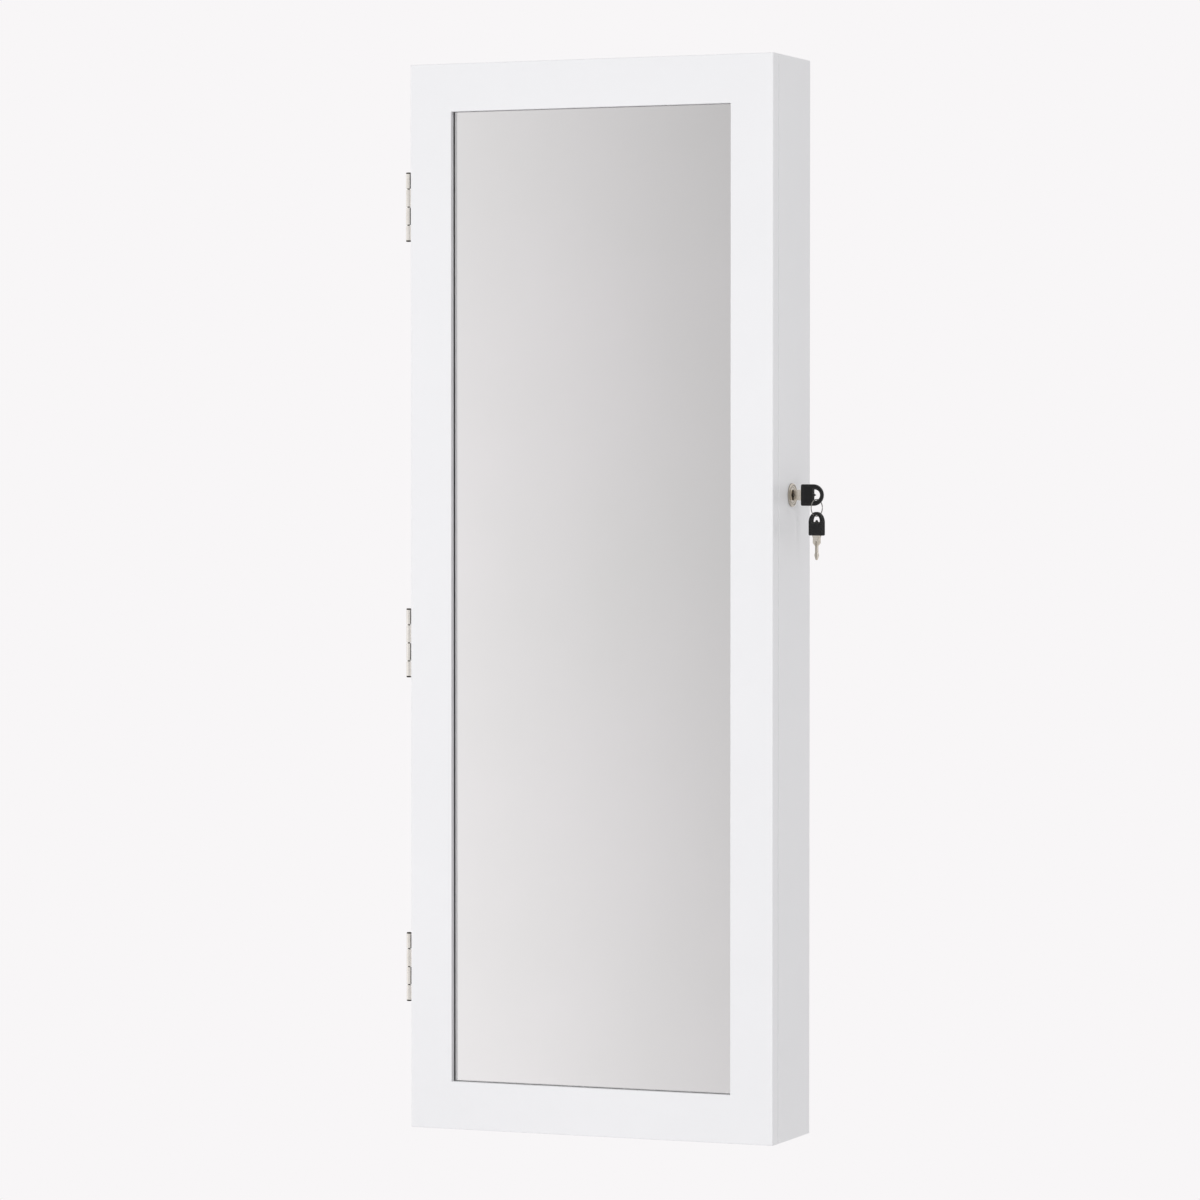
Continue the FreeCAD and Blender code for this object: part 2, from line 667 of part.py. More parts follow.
def hook(x, y, z, direction):
    """Wire hook with a round base on the plane y, standing out along direction (+1 or -1 in Y)."""
    out = Y_AXIS * direction
    foot = V(x, y, z)
    bend_start = foot + out * HOOK_ARM
    bend_centre = bend_start + Z_AXIS * HOOK_BEND_R
    tip_start = bend_centre + out * HOOK_BEND_R
    s = HOOK_BEND_R * math.sqrt(0.5)
    middle = bend_centre + out * s - Z_AXIS * s
    bend = Part.Wire([Part.LineSegment(foot, bend_start).toShape(),
                      Part.Arc(bend_start, middle, tip_start).toShape(),
                      Part.LineSegment(tip_start, tip_start + Z_AXIS * HOOK_TIP).toShape()])
    profile = Part.Wire(Part.makeCircle(HOOK_WIRE_R, foot, out))
    wire = bend.makePipeShell([profile], True, False)
    base = rod(HOOK_BASE_R, HOOK_BASE, foot, out)
    ball = Part.makeSphere(HOOK_BALL_R, tip_start + Z_AXIS * (HOOK_TIP + HOOK_BALL_R * 0.6))
    return wire.fuse([base, ball]).removeSplitter()


def necklace_rail():
    z1 = LEDGE_TOP - SHELF
    rail = box(INNER_LEFT, INNER_RIGHT, LINING_FACE - HOOK_RAIL, LINING_FACE, z1 - HOOK_RAIL_HEIGHT, z1)
    low = edges_at(rail, X_AXIS, lambda p: abs(p.y - (LINING_FACE - HOOK_RAIL)) < 0.01
                   and abs(p.z - (z1 - HOOK_RAIL_HEIGHT)) < 0.01)
    return rail.makeFillet(BOARD_ARRIS * 2, low)


def necklace_hooks():
    z = LEDGE_TOP - SHELF - HOOK_RAIL_HEIGHT / 2 - HOOK_DROP
    return [hook(x, LINING_FACE - HOOK_RAIL, z, -1) for x in inside(INNER_LEFT, INNER_RIGHT, HOOKS)]


# ---------------------------------------------------------------- door
def door_frame():
    """Whole frame with its pockets, before it is divided into stiles and rails."""
    frame = box(LEFT, RIGHT, DOOR_FRONT, DOOR_BACK, BOTTOM, TOP)
    on_side = lambda p: abs(p.x - LEFT) < 0.01 or abs(p.x - RIGHT) < 0.01
    on_end = lambda p: abs(p.z - TOP) < 0.01 or abs(p.z - BOTTOM) < 0.01
    on_front = lambda p: abs(p.y - DOOR_FRONT) < 0.01
    rim = edges_at(frame, Z_AXIS, lambda p: on_side(p) and on_front(p))
    rim += edges_at(frame, X_AXIS, lambda p: on_end(p) and on_front(p))
    frame = frame.makeFillet(DOOR_ARRIS, rim)
    frame = frame.cut(box(-OPEN_X, OPEN_X, DOOR_FRONT - 1, DOOR_BACK + 1, OPEN_BOTTOM, OPEN_TOP))
    inner = edges_at(frame, Z_AXIS, lambda p: abs(abs(p.x) - OPEN_X) < 0.01 and on_front(p))
    inner += edges_at(frame, X_AXIS, lambda p: (abs(p.z - OPEN_TOP) < 0.01 or abs(p.z - OPEN_BOTTOM) < 0.01)
                      and on_front(p))
    frame = frame.makeFillet(OPENING_ARRIS, inner)
    return frame.cut([pocket(GLASS_LAP, GLASS_FRONT), pocket(PANEL_LAP, BACKING_BACK)])


def pocket(lap, front):
    return box(-OPEN_X - lap, OPEN_X + lap, front, DOOR_BACK + 1, OPEN_BOTTOM - lap, OPEN_TOP + lap)


def frame_dowel_places():
    """Middle of each dowel, on the joint between a stile and a rail."""
    places = []
    for x in (-OPEN_X, OPEN_X):
        for sign, edge in ((1, OPEN_TOP), (-1, OPEN_BOTTOM)):
            first = edge + sign * (PANEL_LAP + DOWEL_R * 2)
            places += [V(x, (DOOR_FRONT + DOOR_BACK) / 2, first),
                       V(x, (DOOR_FRONT + DOOR_BACK) / 2, first + sign * FRAME_DOWEL_SPACING)]
    return places


def frame_dowel(middle, room=0.0):
    half = FRAME_DOWEL_HALF + room
    return rod(DOWEL_R + room, 2 * half, middle - X_AXIS * half, X_AXIS)


def door_frame_dowels():
    return [frame_dowel(p) for p in frame_dowel_places()]


def panel_screw_places():
    lap = (GLASS_LAP + PANEL_LAP) / 2
    xs, zs = (-OPEN_X - lap, OPEN_X + lap), (OPEN_BOTTOM - lap, OPEN_TOP + lap)
    places = [(x, z) for x in xs for z in inside(zs[0], zs[1], PANEL_SCREWS_LONG)]
    places += [(x, z) for z in zs for x in inside(xs[0], xs[1], PANEL_SCREWS_SHORT)]
    return [V(x, DOOR_BACK, z) for x, z in places]


def door_cuts():
    """Everything let into the door frame."""
    cuts = [frame_dowel(p, room=FIT) for p in frame_dowel_places()]
    cuts += hinge_mortises(-1) + hinge_screw_holes(-1)
    cuts += [screw_hole(p, -Y_AXIS, PANEL_SCREW_LENGTH) for p in panel_screw_places()]
    return cuts + fitting_screw_holes()


def fitting_screw_holes():
    """Holes for the screws of the striker and the catch plate."""
    return [screw_hole(p, -Y_AXIS, SMALL_SCREW_LENGTH) for p in striker_screw_places() + catch_screw_places()]


def door_member(x0, x1, z0, z1):
    return door_frame().common(box(x0, x1, DOOR_FRONT - 1, DOOR_BACK + 1, z0, z1)).cut(door_cuts())


def sheet_in_pocket(lap, play, front, back):
    """Flat sheet that fills a pocket of the door, less some play."""
    reach = lap - play
    return box(-OPEN_X - reach, OPEN_X + reach, front, back, OPEN_BOTTOM - reach, OPEN_TOP + reach)


def mirror_glass():
    return sheet_in_pocket(GLASS_LAP, GLASS_PLAY, GLASS_FRONT, GLASS_BACK)


def mirror_backing():
    return sheet_in_pocket(GLASS_LAP, GLASS_PLAY, GLASS_BACK, BACKING_BACK)


def door_inner_panel():
    sheet = sheet_in_pocket(PANEL_LAP, PANEL_PLAY, BACKING_BACK, DOOR_BACK)
    holes = [screw_hole(p, -Y_AXIS, PANEL_SCREW_LENGTH) for p in panel_screw_places()]
    return sheet.cut(holes + fitting_screw_holes())


def door_panel_screws():
    return [screw(p, -Y_AXIS, PANEL_SCREW_LENGTH) for p in panel_screw_places()]


def door_rail_z():
    return OPEN_TOP - DOOR_RAIL_FROM_TOP


def door_hook_rail():
    half = OPEN_X - DOOR_RAIL_INSET
    rail = box(-half, half, DOOR_BACK, DOOR_BACK + DOOR_RAIL,
               door_rail_z() - HOOK_RAIL_HEIGHT / 2, door_rail_z() + HOOK_RAIL_HEIGHT / 2)
    front = edges_at(rail, X_AXIS, lambda p: abs(p.y - (DOOR_BACK + DOOR_RAIL)) < 0.01)
    return rail.makeFillet(BOARD_ARRIS * 2, front)


def door_hooks():
    half = OPEN_X - DOOR_RAIL_INSET
    return [hook(x, DOOR_BACK + DOOR_RAIL, door_rail_z() - HOOK_DROP, 1) for x in inside(-half, half, DOOR_HOOKS)]


def slat_heights():
    return [door_rail_z() - SLAT_FROM_RAIL - SLAT_PITCH * i for i in range(SLATS)]


def earring_slats():
    """Drilled slats that stand off the door on blocks."""
    half = OPEN_X - DOOR_RAIL_INSET
    y0 = DOOR_BACK + SLAT_STANDOFF
    slats = []
    for z in slat_heights():
        slat = box(-half, half, y0, y0 + SLAT, z - SLAT_HEIGHT / 2, z + SLAT_HEIGHT / 2)
        nose = edges_at(slat, X_AXIS, lambda p: abs(p.y - (y0 + SLAT)) < 0.01)
        holes = [rod(EARRING_HOLE_R, SLAT + 2, V(x, y0 - 1, z + dz), Y_AXIS)
                 for x in inside(-half + SLAT_BLOCK, half - SLAT_BLOCK, SLAT_HOLES) for dz in (-SLAT, SLAT)]
        slats.append(slat.makeFillet(BOARD_ARRIS, nose).cut(holes))
    return slats


def slat_blocks():
    half = OPEN_X - DOOR_RAIL_INSET
    reach = SLAT_HEIGHT / 2 - 2.0
    return [box(x0, x0 + SLAT_BLOCK, DOOR_BACK, DOOR_BACK + SLAT_STANDOFF, z - reach, z + reach)
            for z in slat_heights() for x0 in (-half, half - SLAT_BLOCK)]


def door_bumpers():
    """Soft dots that take up the seam at the lock side."""
    x = RIGHT - BUMPER_INSET
    dot = Part.makeCone(BUMPER_R, BUMPER_R * 0.8, SEAM - 0.2, V(x, DOOR_BACK, 0), Y_AXIS)
    return [moved(dot, z=z) for z in (BOTTOM + 2 * BUMPER_INSET, TOP - 2 * BUMPER_INSET)]


# ---------------------------------------------------------------- lock
def lock_housing():
    """Flanged, threaded body that is fixed through the right side."""
    centre = V(RIGHT, LOCK_Y, LOCK_Z)
    flange = rod(FLANGE_R, FLANGE, centre, X_AXIS)
    rim = [e for e in flange.Edges if abs(e.CenterOfMass.x - RIGHT - FLANGE) < 0.01 and len(e.Vertexes) == 1]
    flange = flange.makeFillet(FLANGE_ARRIS, rim)
    body = rod(BODY_R, BODY_LENGTH, centre, -X_AXIS)
    flat = BODY_R - BODY_FLAT_DEPTH
    body = body.common(box(BODY_END, RIGHT, LOCK_Y - BODY_R, LOCK_Y + BODY_R, LOCK_Z - flat, LOCK_Z + flat))
    bore = rod(PLUG_R + RUN, BODY_LENGTH + FLANGE + 2, centre + X_AXIS * (FLANGE + 1), -X_AXIS)
    seat_r = PLUG_HEAD_R + RUN
    seat = rod(seat_r, PLUG_HEAD + PLUG_SINK + RUN, centre + X_AXIS * FLANGE, -X_AXIS)
    lead = Part.makeCone(seat_r, seat_r + SEAT_EDGE, SEAT_EDGE, centre + X_AXIS * (FLANGE - SEAT_EDGE), X_AXIS)
    bead_r, floor = FLANGE_R - FLANGE_BEAD, centre + X_AXIS * (FLANGE - FLANGE_GROOVE)
    groove = rod(bead_r, FLANGE, floor, X_AXIS).cut(rod(bead_r - FLANGE_GROOVE_WIDTH, FLANGE, floor, X_AXIS))
    return flange.fuse(body).removeSplitter().cut([bore, seat, lead, groove])


def lock_nut():
    """Hexagon nut behind the right side."""
    radius = (BODY_R + NUT_WALL) / math.cos(math.radians(30))
    corners = [V(INNER_RIGHT, LOCK_Y + radius * math.cos(math.radians(60 * i)),
                 LOCK_Z + radius * math.sin(math.radians(60 * i))) for i in range(6)]
    nut = outline(corners).extrude(X_AXIS * -NUT)
    return nut.cut(rod(BODY_R + FIT, NUT + 2, V(INNER_RIGHT + 1, LOCK_Y, LOCK_Z), -X_AXIS))


def lock_plug():
    """Turning cylinder with the keyway and a square tail."""
    face = V(PLUG_FACE, LOCK_Y, LOCK_Z)
    head = rod(PLUG_HEAD_R, PLUG_HEAD, face, -X_AXIS)
    rim = [e for e in head.Edges if abs(e.CenterOfMass.x - PLUG_FACE) < 0.01 and len(e.Vertexes) == 1]
    head = head.makeChamfer(SEAT_EDGE, rim)
    body = rod(PLUG_R, PLUG_FACE - PLUG_END, face, -X_AXIS)
    half = CAM_SQUARE / 2
    tail = box(CAM_BACK, PLUG_END, LOCK_Y - half, LOCK_Y + half, LOCK_Z - half, LOCK_Z + half)
    mouth = rod(KEY_COLLAR_HALF + MOUTH_PLAY, MOUTH_DEPTH, face, -X_AXIS)
    half_y, half_z = KEY_BLADE / 2 + KEYWAY_SIDE_PLAY, KEY_BULB_HALF + KEYWAY_PLAY
    keyway = box(KEY_TIP - KEYWAY_BEYOND, PLUG_FACE + 1, LOCK_Y - half_y, LOCK_Y + half_y,
                 LOCK_Z - half_z, LOCK_Z + half_z)
    thread = rod(CAM_SCREW_R + FIT, CAM_SCREW_LENGTH - CAM + 1, V(CAM_BACK - 0.5, LOCK_Y, LOCK_Z), X_AXIS)
    return head.fuse([body, tail]).removeSplitter().cut([mouth, keyway, thread])


def lock_cam():
    """Hooked arm on the plug's tail. It hangs down when the door is unlocked."""
    root = V(CAM_BACK, LOCK_Y, LOCK_Z)
    arm = box(CAM_BACK, PLUG_END, LOCK_Y - CAM_HALF, LOCK_Y + CAM_HALF, LOCK_Z - CAM_REACH, LOCK_Z)
    hub = rod(CAM_HUB_R, CAM, root, X_AXIS)
    barb = box(CAM_BACK, PLUG_END, LOCK_Y - CAM_HOOK_RISE, LOCK_Y, LOCK_Z - CAM_REACH, LOCK_Z - CAM_REACH + CAM_HOOK)
    cam = arm.fuse([hub, barb]).removeSplitter()
    half = CAM_SQUARE / 2 + FIT
    return cam.cut(box(CAM_BACK - 1, PLUG_END + 1, LOCK_Y - half, LOCK_Y + half, LOCK_Z - half, LOCK_Z + half))


def cam_screw():
    start = V(CAM_BACK, LOCK_Y, LOCK_Z)
    head = rod(CAM_SCREW_HEAD_R, CAM_SCREW_HEAD, start, -X_AXIS)
    rim = [e for e in head.Edges if abs(e.CenterOfMass.x - CAM_BACK + CAM_SCREW_HEAD) < 0.01 and len(e.Vertexes) == 1]
    head = head.makeFillet(CAM_SCREW_HEAD / 3, rim)
    head = head.fuse(rod(CAM_SCREW_R, CAM_SCREW_LENGTH - CAM, start, X_AXIS)).removeSplitter()
    top = start - X_AXIS * CAM_SCREW_HEAD
    return head.cut([bar_along(top, X_AXIS, Y_AXIS), bar_along(top, X_AXIS, Z_AXIS)])


# ---------------------------------------------------------------- striker and catch
def striker_x():
    """Middle of the striker, in line with the cam."""
    return CAM_BACK + CAM / 2


def striker_screw_places():
    low = LOCK_Z + STRIKER_OVER_AXIS + STRIKER_SCREW_LOW
    return [V(striker_x(), DOOR_BACK + STRIKER, low + STRIKER_SCREW_PITCH * i) for i in range(2)]


def lock_striker():
    """Bent plate on the door whose lip the cam's hook catches."""
    x0, x1 = striker_x() - STRIKER_WIDTH / 2, striker_x() + STRIKER_WIDTH / 2
    low = LOCK_Z + STRIKER_OVER_AXIS
    rear = LOCK_Y - STRIKER_LIP_AT
    flange = box(x0, x1, DOOR_BACK, DOOR_BACK + STRIKER, low, low + STRIKER_FLANGE_HEIGHT)
    arm = box(x0, x1, DOOR_BACK, rear, low, low + STRIKER)
    lip = box(x0, x1, rear - STRIKER, rear, LOCK_Z + STRIKER_LIP_LOW, low + STRIKER)
    plate = flange.fuse([arm, lip]).removeSplitter()
    return plate.cut([screw_hole(p, -Y_AXIS, SMALL_SCREW_LENGTH) for p in striker_screw_places()])


def catch_z():
    return BOTTOM + CATCH_FROM_BOTTOM


def catch_front():
    """Front of the catch, a hair behind the closed door's plate."""
    return DOOR_BACK + CATCH_PLATE + 0.2


def catch_body():
    """Plastic block on the right side that carries the magnet."""
    x0 = INNER_RIGHT - CATCH_WIDTH
    block = box(x0, INNER_RIGHT, catch_front(), catch_front() + CATCH_DEPTH,
                catch_z() - CATCH_HEIGHT / 2, catch_z() + CATCH_HEIGHT / 2)
    corners = edges_at(block, Y_AXIS, lambda p: abs(p.x - x0) < 0.01)
    return block.makeFillet(BOARD_ARRIS * 2, corners).cut(magnet_shape(FIT))


def magnet_shape(room=0.0):
    x = INNER_RIGHT - CATCH_WIDTH / 2
    return box(x - MAGNET_WIDTH / 2 - room, x + MAGNET_WIDTH / 2 + room, catch_front() - (1.0 if room else 0.0),
               catch_front() + MAGNET_DEPTH + room,
               catch_z() - MAGNET_HEIGHT / 2 - room, catch_z() + MAGNET_HEIGHT / 2 + room)


def catch_screw_places():
    x = INNER_RIGHT - CATCH_WIDTH / 2
    return [V(x, DOOR_BACK + CATCH_PLATE, catch_z())]


def catch_plate():
    x = INNER_RIGHT - CATCH_WIDTH / 2
    plate = box(x - CATCH_PLATE_WIDTH / 2, x + CATCH_PLATE_WIDTH / 2, DOOR_BACK, DOOR_BACK + CATCH_PLATE,
                catch_z() - CATCH_PLATE_HEIGHT / 2, catch_z() + CATCH_PLATE_HEIGHT / 2)
    corners = edges_at(plate, Y_AXIS, lambda p: True)
    plate = plate.makeFillet(BOARD_ARRIS * 2, corners)
    return plate.cut([screw_hole(p, -Y_AXIS, SMALL_SCREW_LENGTH) for p in catch_screw_places()])


def striker_and_catch_screws():
    """Identical screws that hold the striker and the catch plate on the door."""
    return [screw(p, -Y_AXIS, SMALL_SCREW_LENGTH) for p in striker_screw_places() + catch_screw_places()]


# ---------------------------------------------------------------- keys, drawn with the head along +X and the face to -Y
def key_head():
    """Moulded head about the origin: its near end at x = 0, its round end at x = KEY_HEAD_LENGTH."""
    head = head_outline(0.0).extrude(Y_AXIS * KEY_HEAD)
    head.translate(V(0, -KEY_HEAD / 2, 0))
    corners = edges_at(head, Y_AXIS, lambda p: abs(p.x) < 0.01)
    head = head.makeFillet(KEY_HEAD_CORNER, corners)
    head = head.cut(key_eye())
    faces = [e for e in head.Edges if abs(abs(e.CenterOfMass.y) - KEY_HEAD / 2) < 0.01]
    head = head.makeChamfer(KEY_HEAD_EDGE, faces)
    for side in (-1, 1):
        head = head.cut(relief_field(side).cut(eye_surround()))
    tang = box(-1, KEY_TANG_LENGTH + FIT, -KEY_BLADE / 2 - FIT, KEY_BLADE / 2 + FIT,
               -KEY_TANG_HALF - FIT, KEY_TANG_HALF + FIT)
    return head.cut(tang)


def relief_field(side):
    """Sunk field of the head's face on one side, -1 or +1 in Y, with a sloping border."""
    top, floor = head_outline(KEY_RIM).OuterWire, head_outline(KEY_RIM + KEY_RELIEF_SLOPE).OuterWire
    top.translate(Y_AXIS * side * KEY_HEAD / 2)
    floor.translate(Y_AXIS * side * (KEY_HEAD / 2 - KEY_RELIEF))
    return Part.makeLoft([top, floor], True, True)


def head_outline(inset):
    """D-shaped face in the plane Y = 0."""
    half = KEY_HEAD_R - inset
    start, bend = inset, KEY_HEAD_LENGTH - KEY_HEAD_R
    far = KEY_HEAD_LENGTH - inset
    return outline([V(start, 0, -half), V(bend, 0, -half), (V(far, 0, 0), V(bend, 0, half)), V(start, 0, half)])


def eye_middle():
    """Middle of the eye's arc, along the head."""
    return KEY_HEAD_LENGTH - KEY_EYE_RIM - KEY_EYE_R


def eye_outline(grow):
    """Half-moon eye with a small bump on its flat side."""
    middle = eye_middle()
    flat = middle - KEY_EYE_FLAT - grow
    radius = KEY_EYE_R + grow
    return outline([V(flat, 0, -radius), V(middle, 0, -radius), (V(middle + radius, 0, 0), V(middle, 0, radius)),
                    V(flat, 0, radius), V(flat, 0, KEY_EYE_BUMP_HALF),
                    V(flat + KEY_EYE_BUMP, 0, 0), V(flat, 0, -KEY_EYE_BUMP_HALF)])


def key_eye():
    eye = eye_outline(0.0).extrude(Y_AXIS * (KEY_HEAD + 2))
    eye.translate(V(0, -KEY_HEAD / 2 - 1, 0))
    return eye


def eye_surround():
    """Raised border round the eye."""
    ring = eye_outline(KEY_RIM / 1.5).extrude(Y_AXIS * (KEY_HEAD + 2))
    ring.translate(V(0, -KEY_HEAD / 2 - 1, 0))
    return ring


def key_blade():
    """Flat blade along -X with its tang inside the head."""
    collar = -KEY_COLLAR_LENGTH
    stem = collar - KEY_TAPER
    bulb = stem - KEY_STEM_LENGTH
    tip = bulb - KEY_BULB_LENGTH
    full, narrow, point = bulb - KEY_BULB_RISE, bulb - KEY_BULB_RISE - KEY_BULB_FLAT, tip + KEY_POINT
    c, s, b, p = KEY_COLLAR_HALF, KEY_STEM_HALF, KEY_BULB_HALF, KEY_POINT_HALF
    points = [V(0, 0, c), V(collar, 0, c), V(stem, 0, s), V(bulb, 0, s), V(full, 0, b), V(narrow, 0, b), V(point, 0, p),
              (V(tip, 0, 0), V(point, 0, -p)), V(narrow, 0, -b), V(full, 0, -b), V(bulb, 0, -s), V(stem, 0, -s),
              V(collar, 0, -c), V(0, 0, -c)]
    blade = outline(points).extrude(Y_AXIS * KEY_BLADE)
    blade.translate(V(0, -KEY_BLADE / 2, 0))
    edges = [e for e in blade.Edges if abs(abs(e.CenterOfMass.y) - KEY_BLADE / 2) < 0.01 and e.CenterOfMass.x < -0.01]
    blade = blade.makeChamfer(KEY_BLADE_EDGE, edges)
    grooves = [box(tip - 1, collar + KEY_GROOVE_START, y0, y0 + KEY_GROOVE, -KEY_GROOVE_HALF, KEY_GROOVE_HALF)
               for y0 in (-KEY_BLADE / 2, KEY_BLADE / 2 - KEY_GROOVE)]
    thick, wide = KEY_BLADE / 2 + KEY_SHOULDER_LAP, c + KEY_SHOULDER_LAP
    shoulder = box(-KEY_SHOULDER, 0, -thick, thick, -wide, wide)
    shoulder = shoulder.makeChamfer(KEY_SHOULDER_LAP, edges_at(shoulder, X_AXIS, lambda p: True))
    tang = box(-KEY_SHOULDER / 2, KEY_TANG_LENGTH, -KEY_BLADE / 2, KEY_BLADE / 2, -KEY_TANG_HALF, KEY_TANG_HALF)
    return blade.cut(grooves).fuse([shoulder, tang]).removeSplitter()


def key_in_lock(shape):
    """Puts a key shape in the lock, its blade upright."""
    return moved(shape, KEY_U, LOCK_Y, LOCK_Z)


def ring_centre():
    """Middle of the ring, hanging from the eye of the key in the lock."""
    edge = -math.sqrt(KEY_EYE_R ** 2 - (RING_AT - eye_middle()) ** 2)
    return V(KEY_U + RING_AT, LOCK_Y, LOCK_Z + edge + RING_SEAT - RING_R)


def key_ring():
    """Wire ring with a butt joint."""
    angle = math.radians(RING_TURN)
    normal = V(math.cos(angle), -math.sin(angle), 0)
    ring = Part.makeTorus(RING_R, RING_WIRE_R, ring_centre(), normal)
    across = V(math.sin(angle), math.cos(angle), 0)
    joint = rod(RING_WIRE_R * 2, RING_GAP, ring_centre() + across * RING_R - Z_AXIS * RING_GAP / 2, Z_AXIS)
    return ring.cut(joint)


def hanging_key(shape):
    """Turns a key shape so that it hangs from the ring's lowest point."""
    copy = moved(shape, x=KEY_EYE_RIM - KEY_HEAD_LENGTH)
    copy.rotate(V(0, 0, 0), Y_AXIS, -90)
    copy.rotate(V(0, 0, 0), Z_AXIS, -SPARE_TURN)
    low = ring_centre() - Z_AXIS * (RING_R - SPARE_SEAT)
    copy.translate(low)
    return copy


# ---------------------------------------------------------------- output
def pieces():
    """Name and shape, or list of shapes, of every piece."""
    leaves = {"case": leaf(0, +1), "door": leaf(1, -1)}
    made = {
        "case_left_side": side_panel(-1),
        "case_right_side": side_panel(+1),
        "case_top": end_panel(+1),
        "case_bottom": end_panel(-1),
        "case_back": case_back(),
        "back_nails": back_nails(),
        "case_dowels": case_dowels(),
        "hanging_rail_top": hanging_rail(+1),
        "hanging_rail_bottom": hanging_rail(-1),
        "back_lining": back_lining(),
        "shelf_upper": shelf(UPPER_SHELF_TOP, SHELF_FRONT),
        "shelf_middle": shelf(MIDDLE_SHELF_TOP, SHELF_FRONT),
        "shelf_lower": shelf(LOWER_SHELF_TOP, SHELF_FRONT),
        "display_ledge": shelf(LEDGE_TOP, LEDGE_FRONT),
        "shelf_mats": shelf_mats(),
        "guard_rods": guard_rods(),
        "display_divider": divider(),
        "ring_cushion": ring_cushion(),
        "earring_panel": earring_panel(),
        "earring_panel_posts": panel_standoffs(),
        "necklace_rail": necklace_rail(),
        "necklace_hooks": necklace_hooks(),
        "door_left_stile": door_member(LEFT, -OPEN_X, BOTTOM, TOP),
        "door_right_stile": door_member(OPEN_X, RIGHT, BOTTOM, TOP),
        "door_top_rail": door_member(-OPEN_X, OPEN_X, OPEN_TOP, TOP),
        "door_bottom_rail": door_member(-OPEN_X, OPEN_X, BOTTOM, OPEN_BOTTOM),
        "door_frame_dowels": door_frame_dowels(),
        "mirror_glass": mirror_glass(),
        "mirror_backing": mirror_backing(),
        "door_inner_panel": door_inner_panel(),
        "door_panel_screws": door_panel_screws(),
        "door_hook_rail": door_hook_rail(),
        "door_hooks": door_hooks(),
        "earring_slats": earring_slats(),
        "slat_blocks": slat_blocks(),
        "door_bumpers": door_bumpers(),
        "hinge_pins": hinge_pins(),
        "case_hinge_screws": hinge_screws(+1),
        "door_hinge_screws": hinge_screws(-1),
        "lock_housing": lock_housing(),
        "lock_nut": lock_nut(),
        "lock_plug": lock_plug(),
        "lock_cam": lock_cam(),
        "cam_screw": cam_screw(),
        "lock_striker": lock_striker(),
        "striker_and_catch_screws": striker_and_catch_screws(),
        "catch_body": catch_body(),
        "catch_magnet": magnet_shape(),
        "catch_plate": catch_plate(),
        "key_head": key_in_lock(key_head()),
        "key_blade": key_in_lock(key_blade()),
        "key_ring": key_ring(),
        "spare_key_head": hanging_key(key_head()),
        "spare_key_blade": hanging_key(key_blade()),
    }
    for place, z in zip(("top", "middle", "bottom"), HINGE_ZS):
        for owner, shape in leaves.items():
            made["hinge_%s_%s_leaf" % (place, owner)] = moved(shape, z=z)
    return made


def main():
    os.makedirs("parts", exist_ok=True)
    for name, shape in pieces().items():
        if isinstance(shape, list):
            shape = Part.makeCompound([solid for item in shape for solid in item.Solids])
        else:
            shape = Part.makeCompound(shape.Solids) if len(shape.Solids) > 1 else shape.Solids[0]
        if not shape.isValid():
            print("not valid:", name)
        shape.exportStep("parts/%s.step" % name)
        print("%-26s solids %2d  volume %12.1f" % (name, len(shape.Solids), shape.Volume))


main()
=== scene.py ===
"""Looks of the jewelry mirror cabinet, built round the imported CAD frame.

The CAD nodes keep their shapes and get procedural finishes. Built here are the mirror's silver film, the flocked
mats on the shelves and the ring cushion, which need a film, cloth and padding that the frame doesn't hold.
"""

import logging
import math
from collections.abc import Iterable
from dataclasses import dataclass
from enum import Enum

import bpy
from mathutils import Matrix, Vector, noise


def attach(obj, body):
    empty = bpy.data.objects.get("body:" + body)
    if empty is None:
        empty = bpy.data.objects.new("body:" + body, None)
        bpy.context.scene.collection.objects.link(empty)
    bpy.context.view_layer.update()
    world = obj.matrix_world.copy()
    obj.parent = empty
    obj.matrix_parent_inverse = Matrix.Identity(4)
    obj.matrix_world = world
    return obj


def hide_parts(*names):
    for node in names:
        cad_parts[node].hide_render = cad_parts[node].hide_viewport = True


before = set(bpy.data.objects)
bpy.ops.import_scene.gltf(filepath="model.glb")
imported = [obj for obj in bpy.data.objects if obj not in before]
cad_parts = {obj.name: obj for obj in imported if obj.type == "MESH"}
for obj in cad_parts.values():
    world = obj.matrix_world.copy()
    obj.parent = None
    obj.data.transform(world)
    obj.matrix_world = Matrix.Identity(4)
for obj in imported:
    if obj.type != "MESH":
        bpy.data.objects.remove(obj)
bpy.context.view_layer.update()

LOG = logging.getLogger("cabinet")
MM = 0.001  # one millimetre in the frame's metres
NOISE_RANGE = (0.3, 0.7)  # where nearly all of a noise's values lie
BANDS_TO_PERIOD = math.tau / 20  # scale of a band texture for one band in each unit
EDGE_SAMPLES = 8  # rays that feel for a corner or a gap
WHITE = (1.0, 1.0, 1.0, 1.0)


class Body(Enum):
    """CAD bodies that a piece can ride on."""

    CASE = "case"
    DOOR = "door"


class Slot(Enum):
    """Material slots of the record."""

    PAINT = "painted_board"
    BACK = "back_board"
    WOOD = "bare_wood"
    VELVET = "velvet"
    ZINC = "bright_steel"
    HINGE_NICKEL = "nickel_hinge"
    PIN = "pin_steel"
    LOCK_NICKEL = "nickel_lock"
    ROD = "polished_rod"
    KEY_PLASTIC = "key_plastic"
    KEY_BLADE = "key_blade_metal"
    RING_WIRE = "ring_wire"
    GLASS = "mirror_glass"
    CARD = "backing_card"
    BUMPER = "soft_bumper"
    CATCH_PLASTIC = "catch_plastic"
    MAGNET = "magnet"


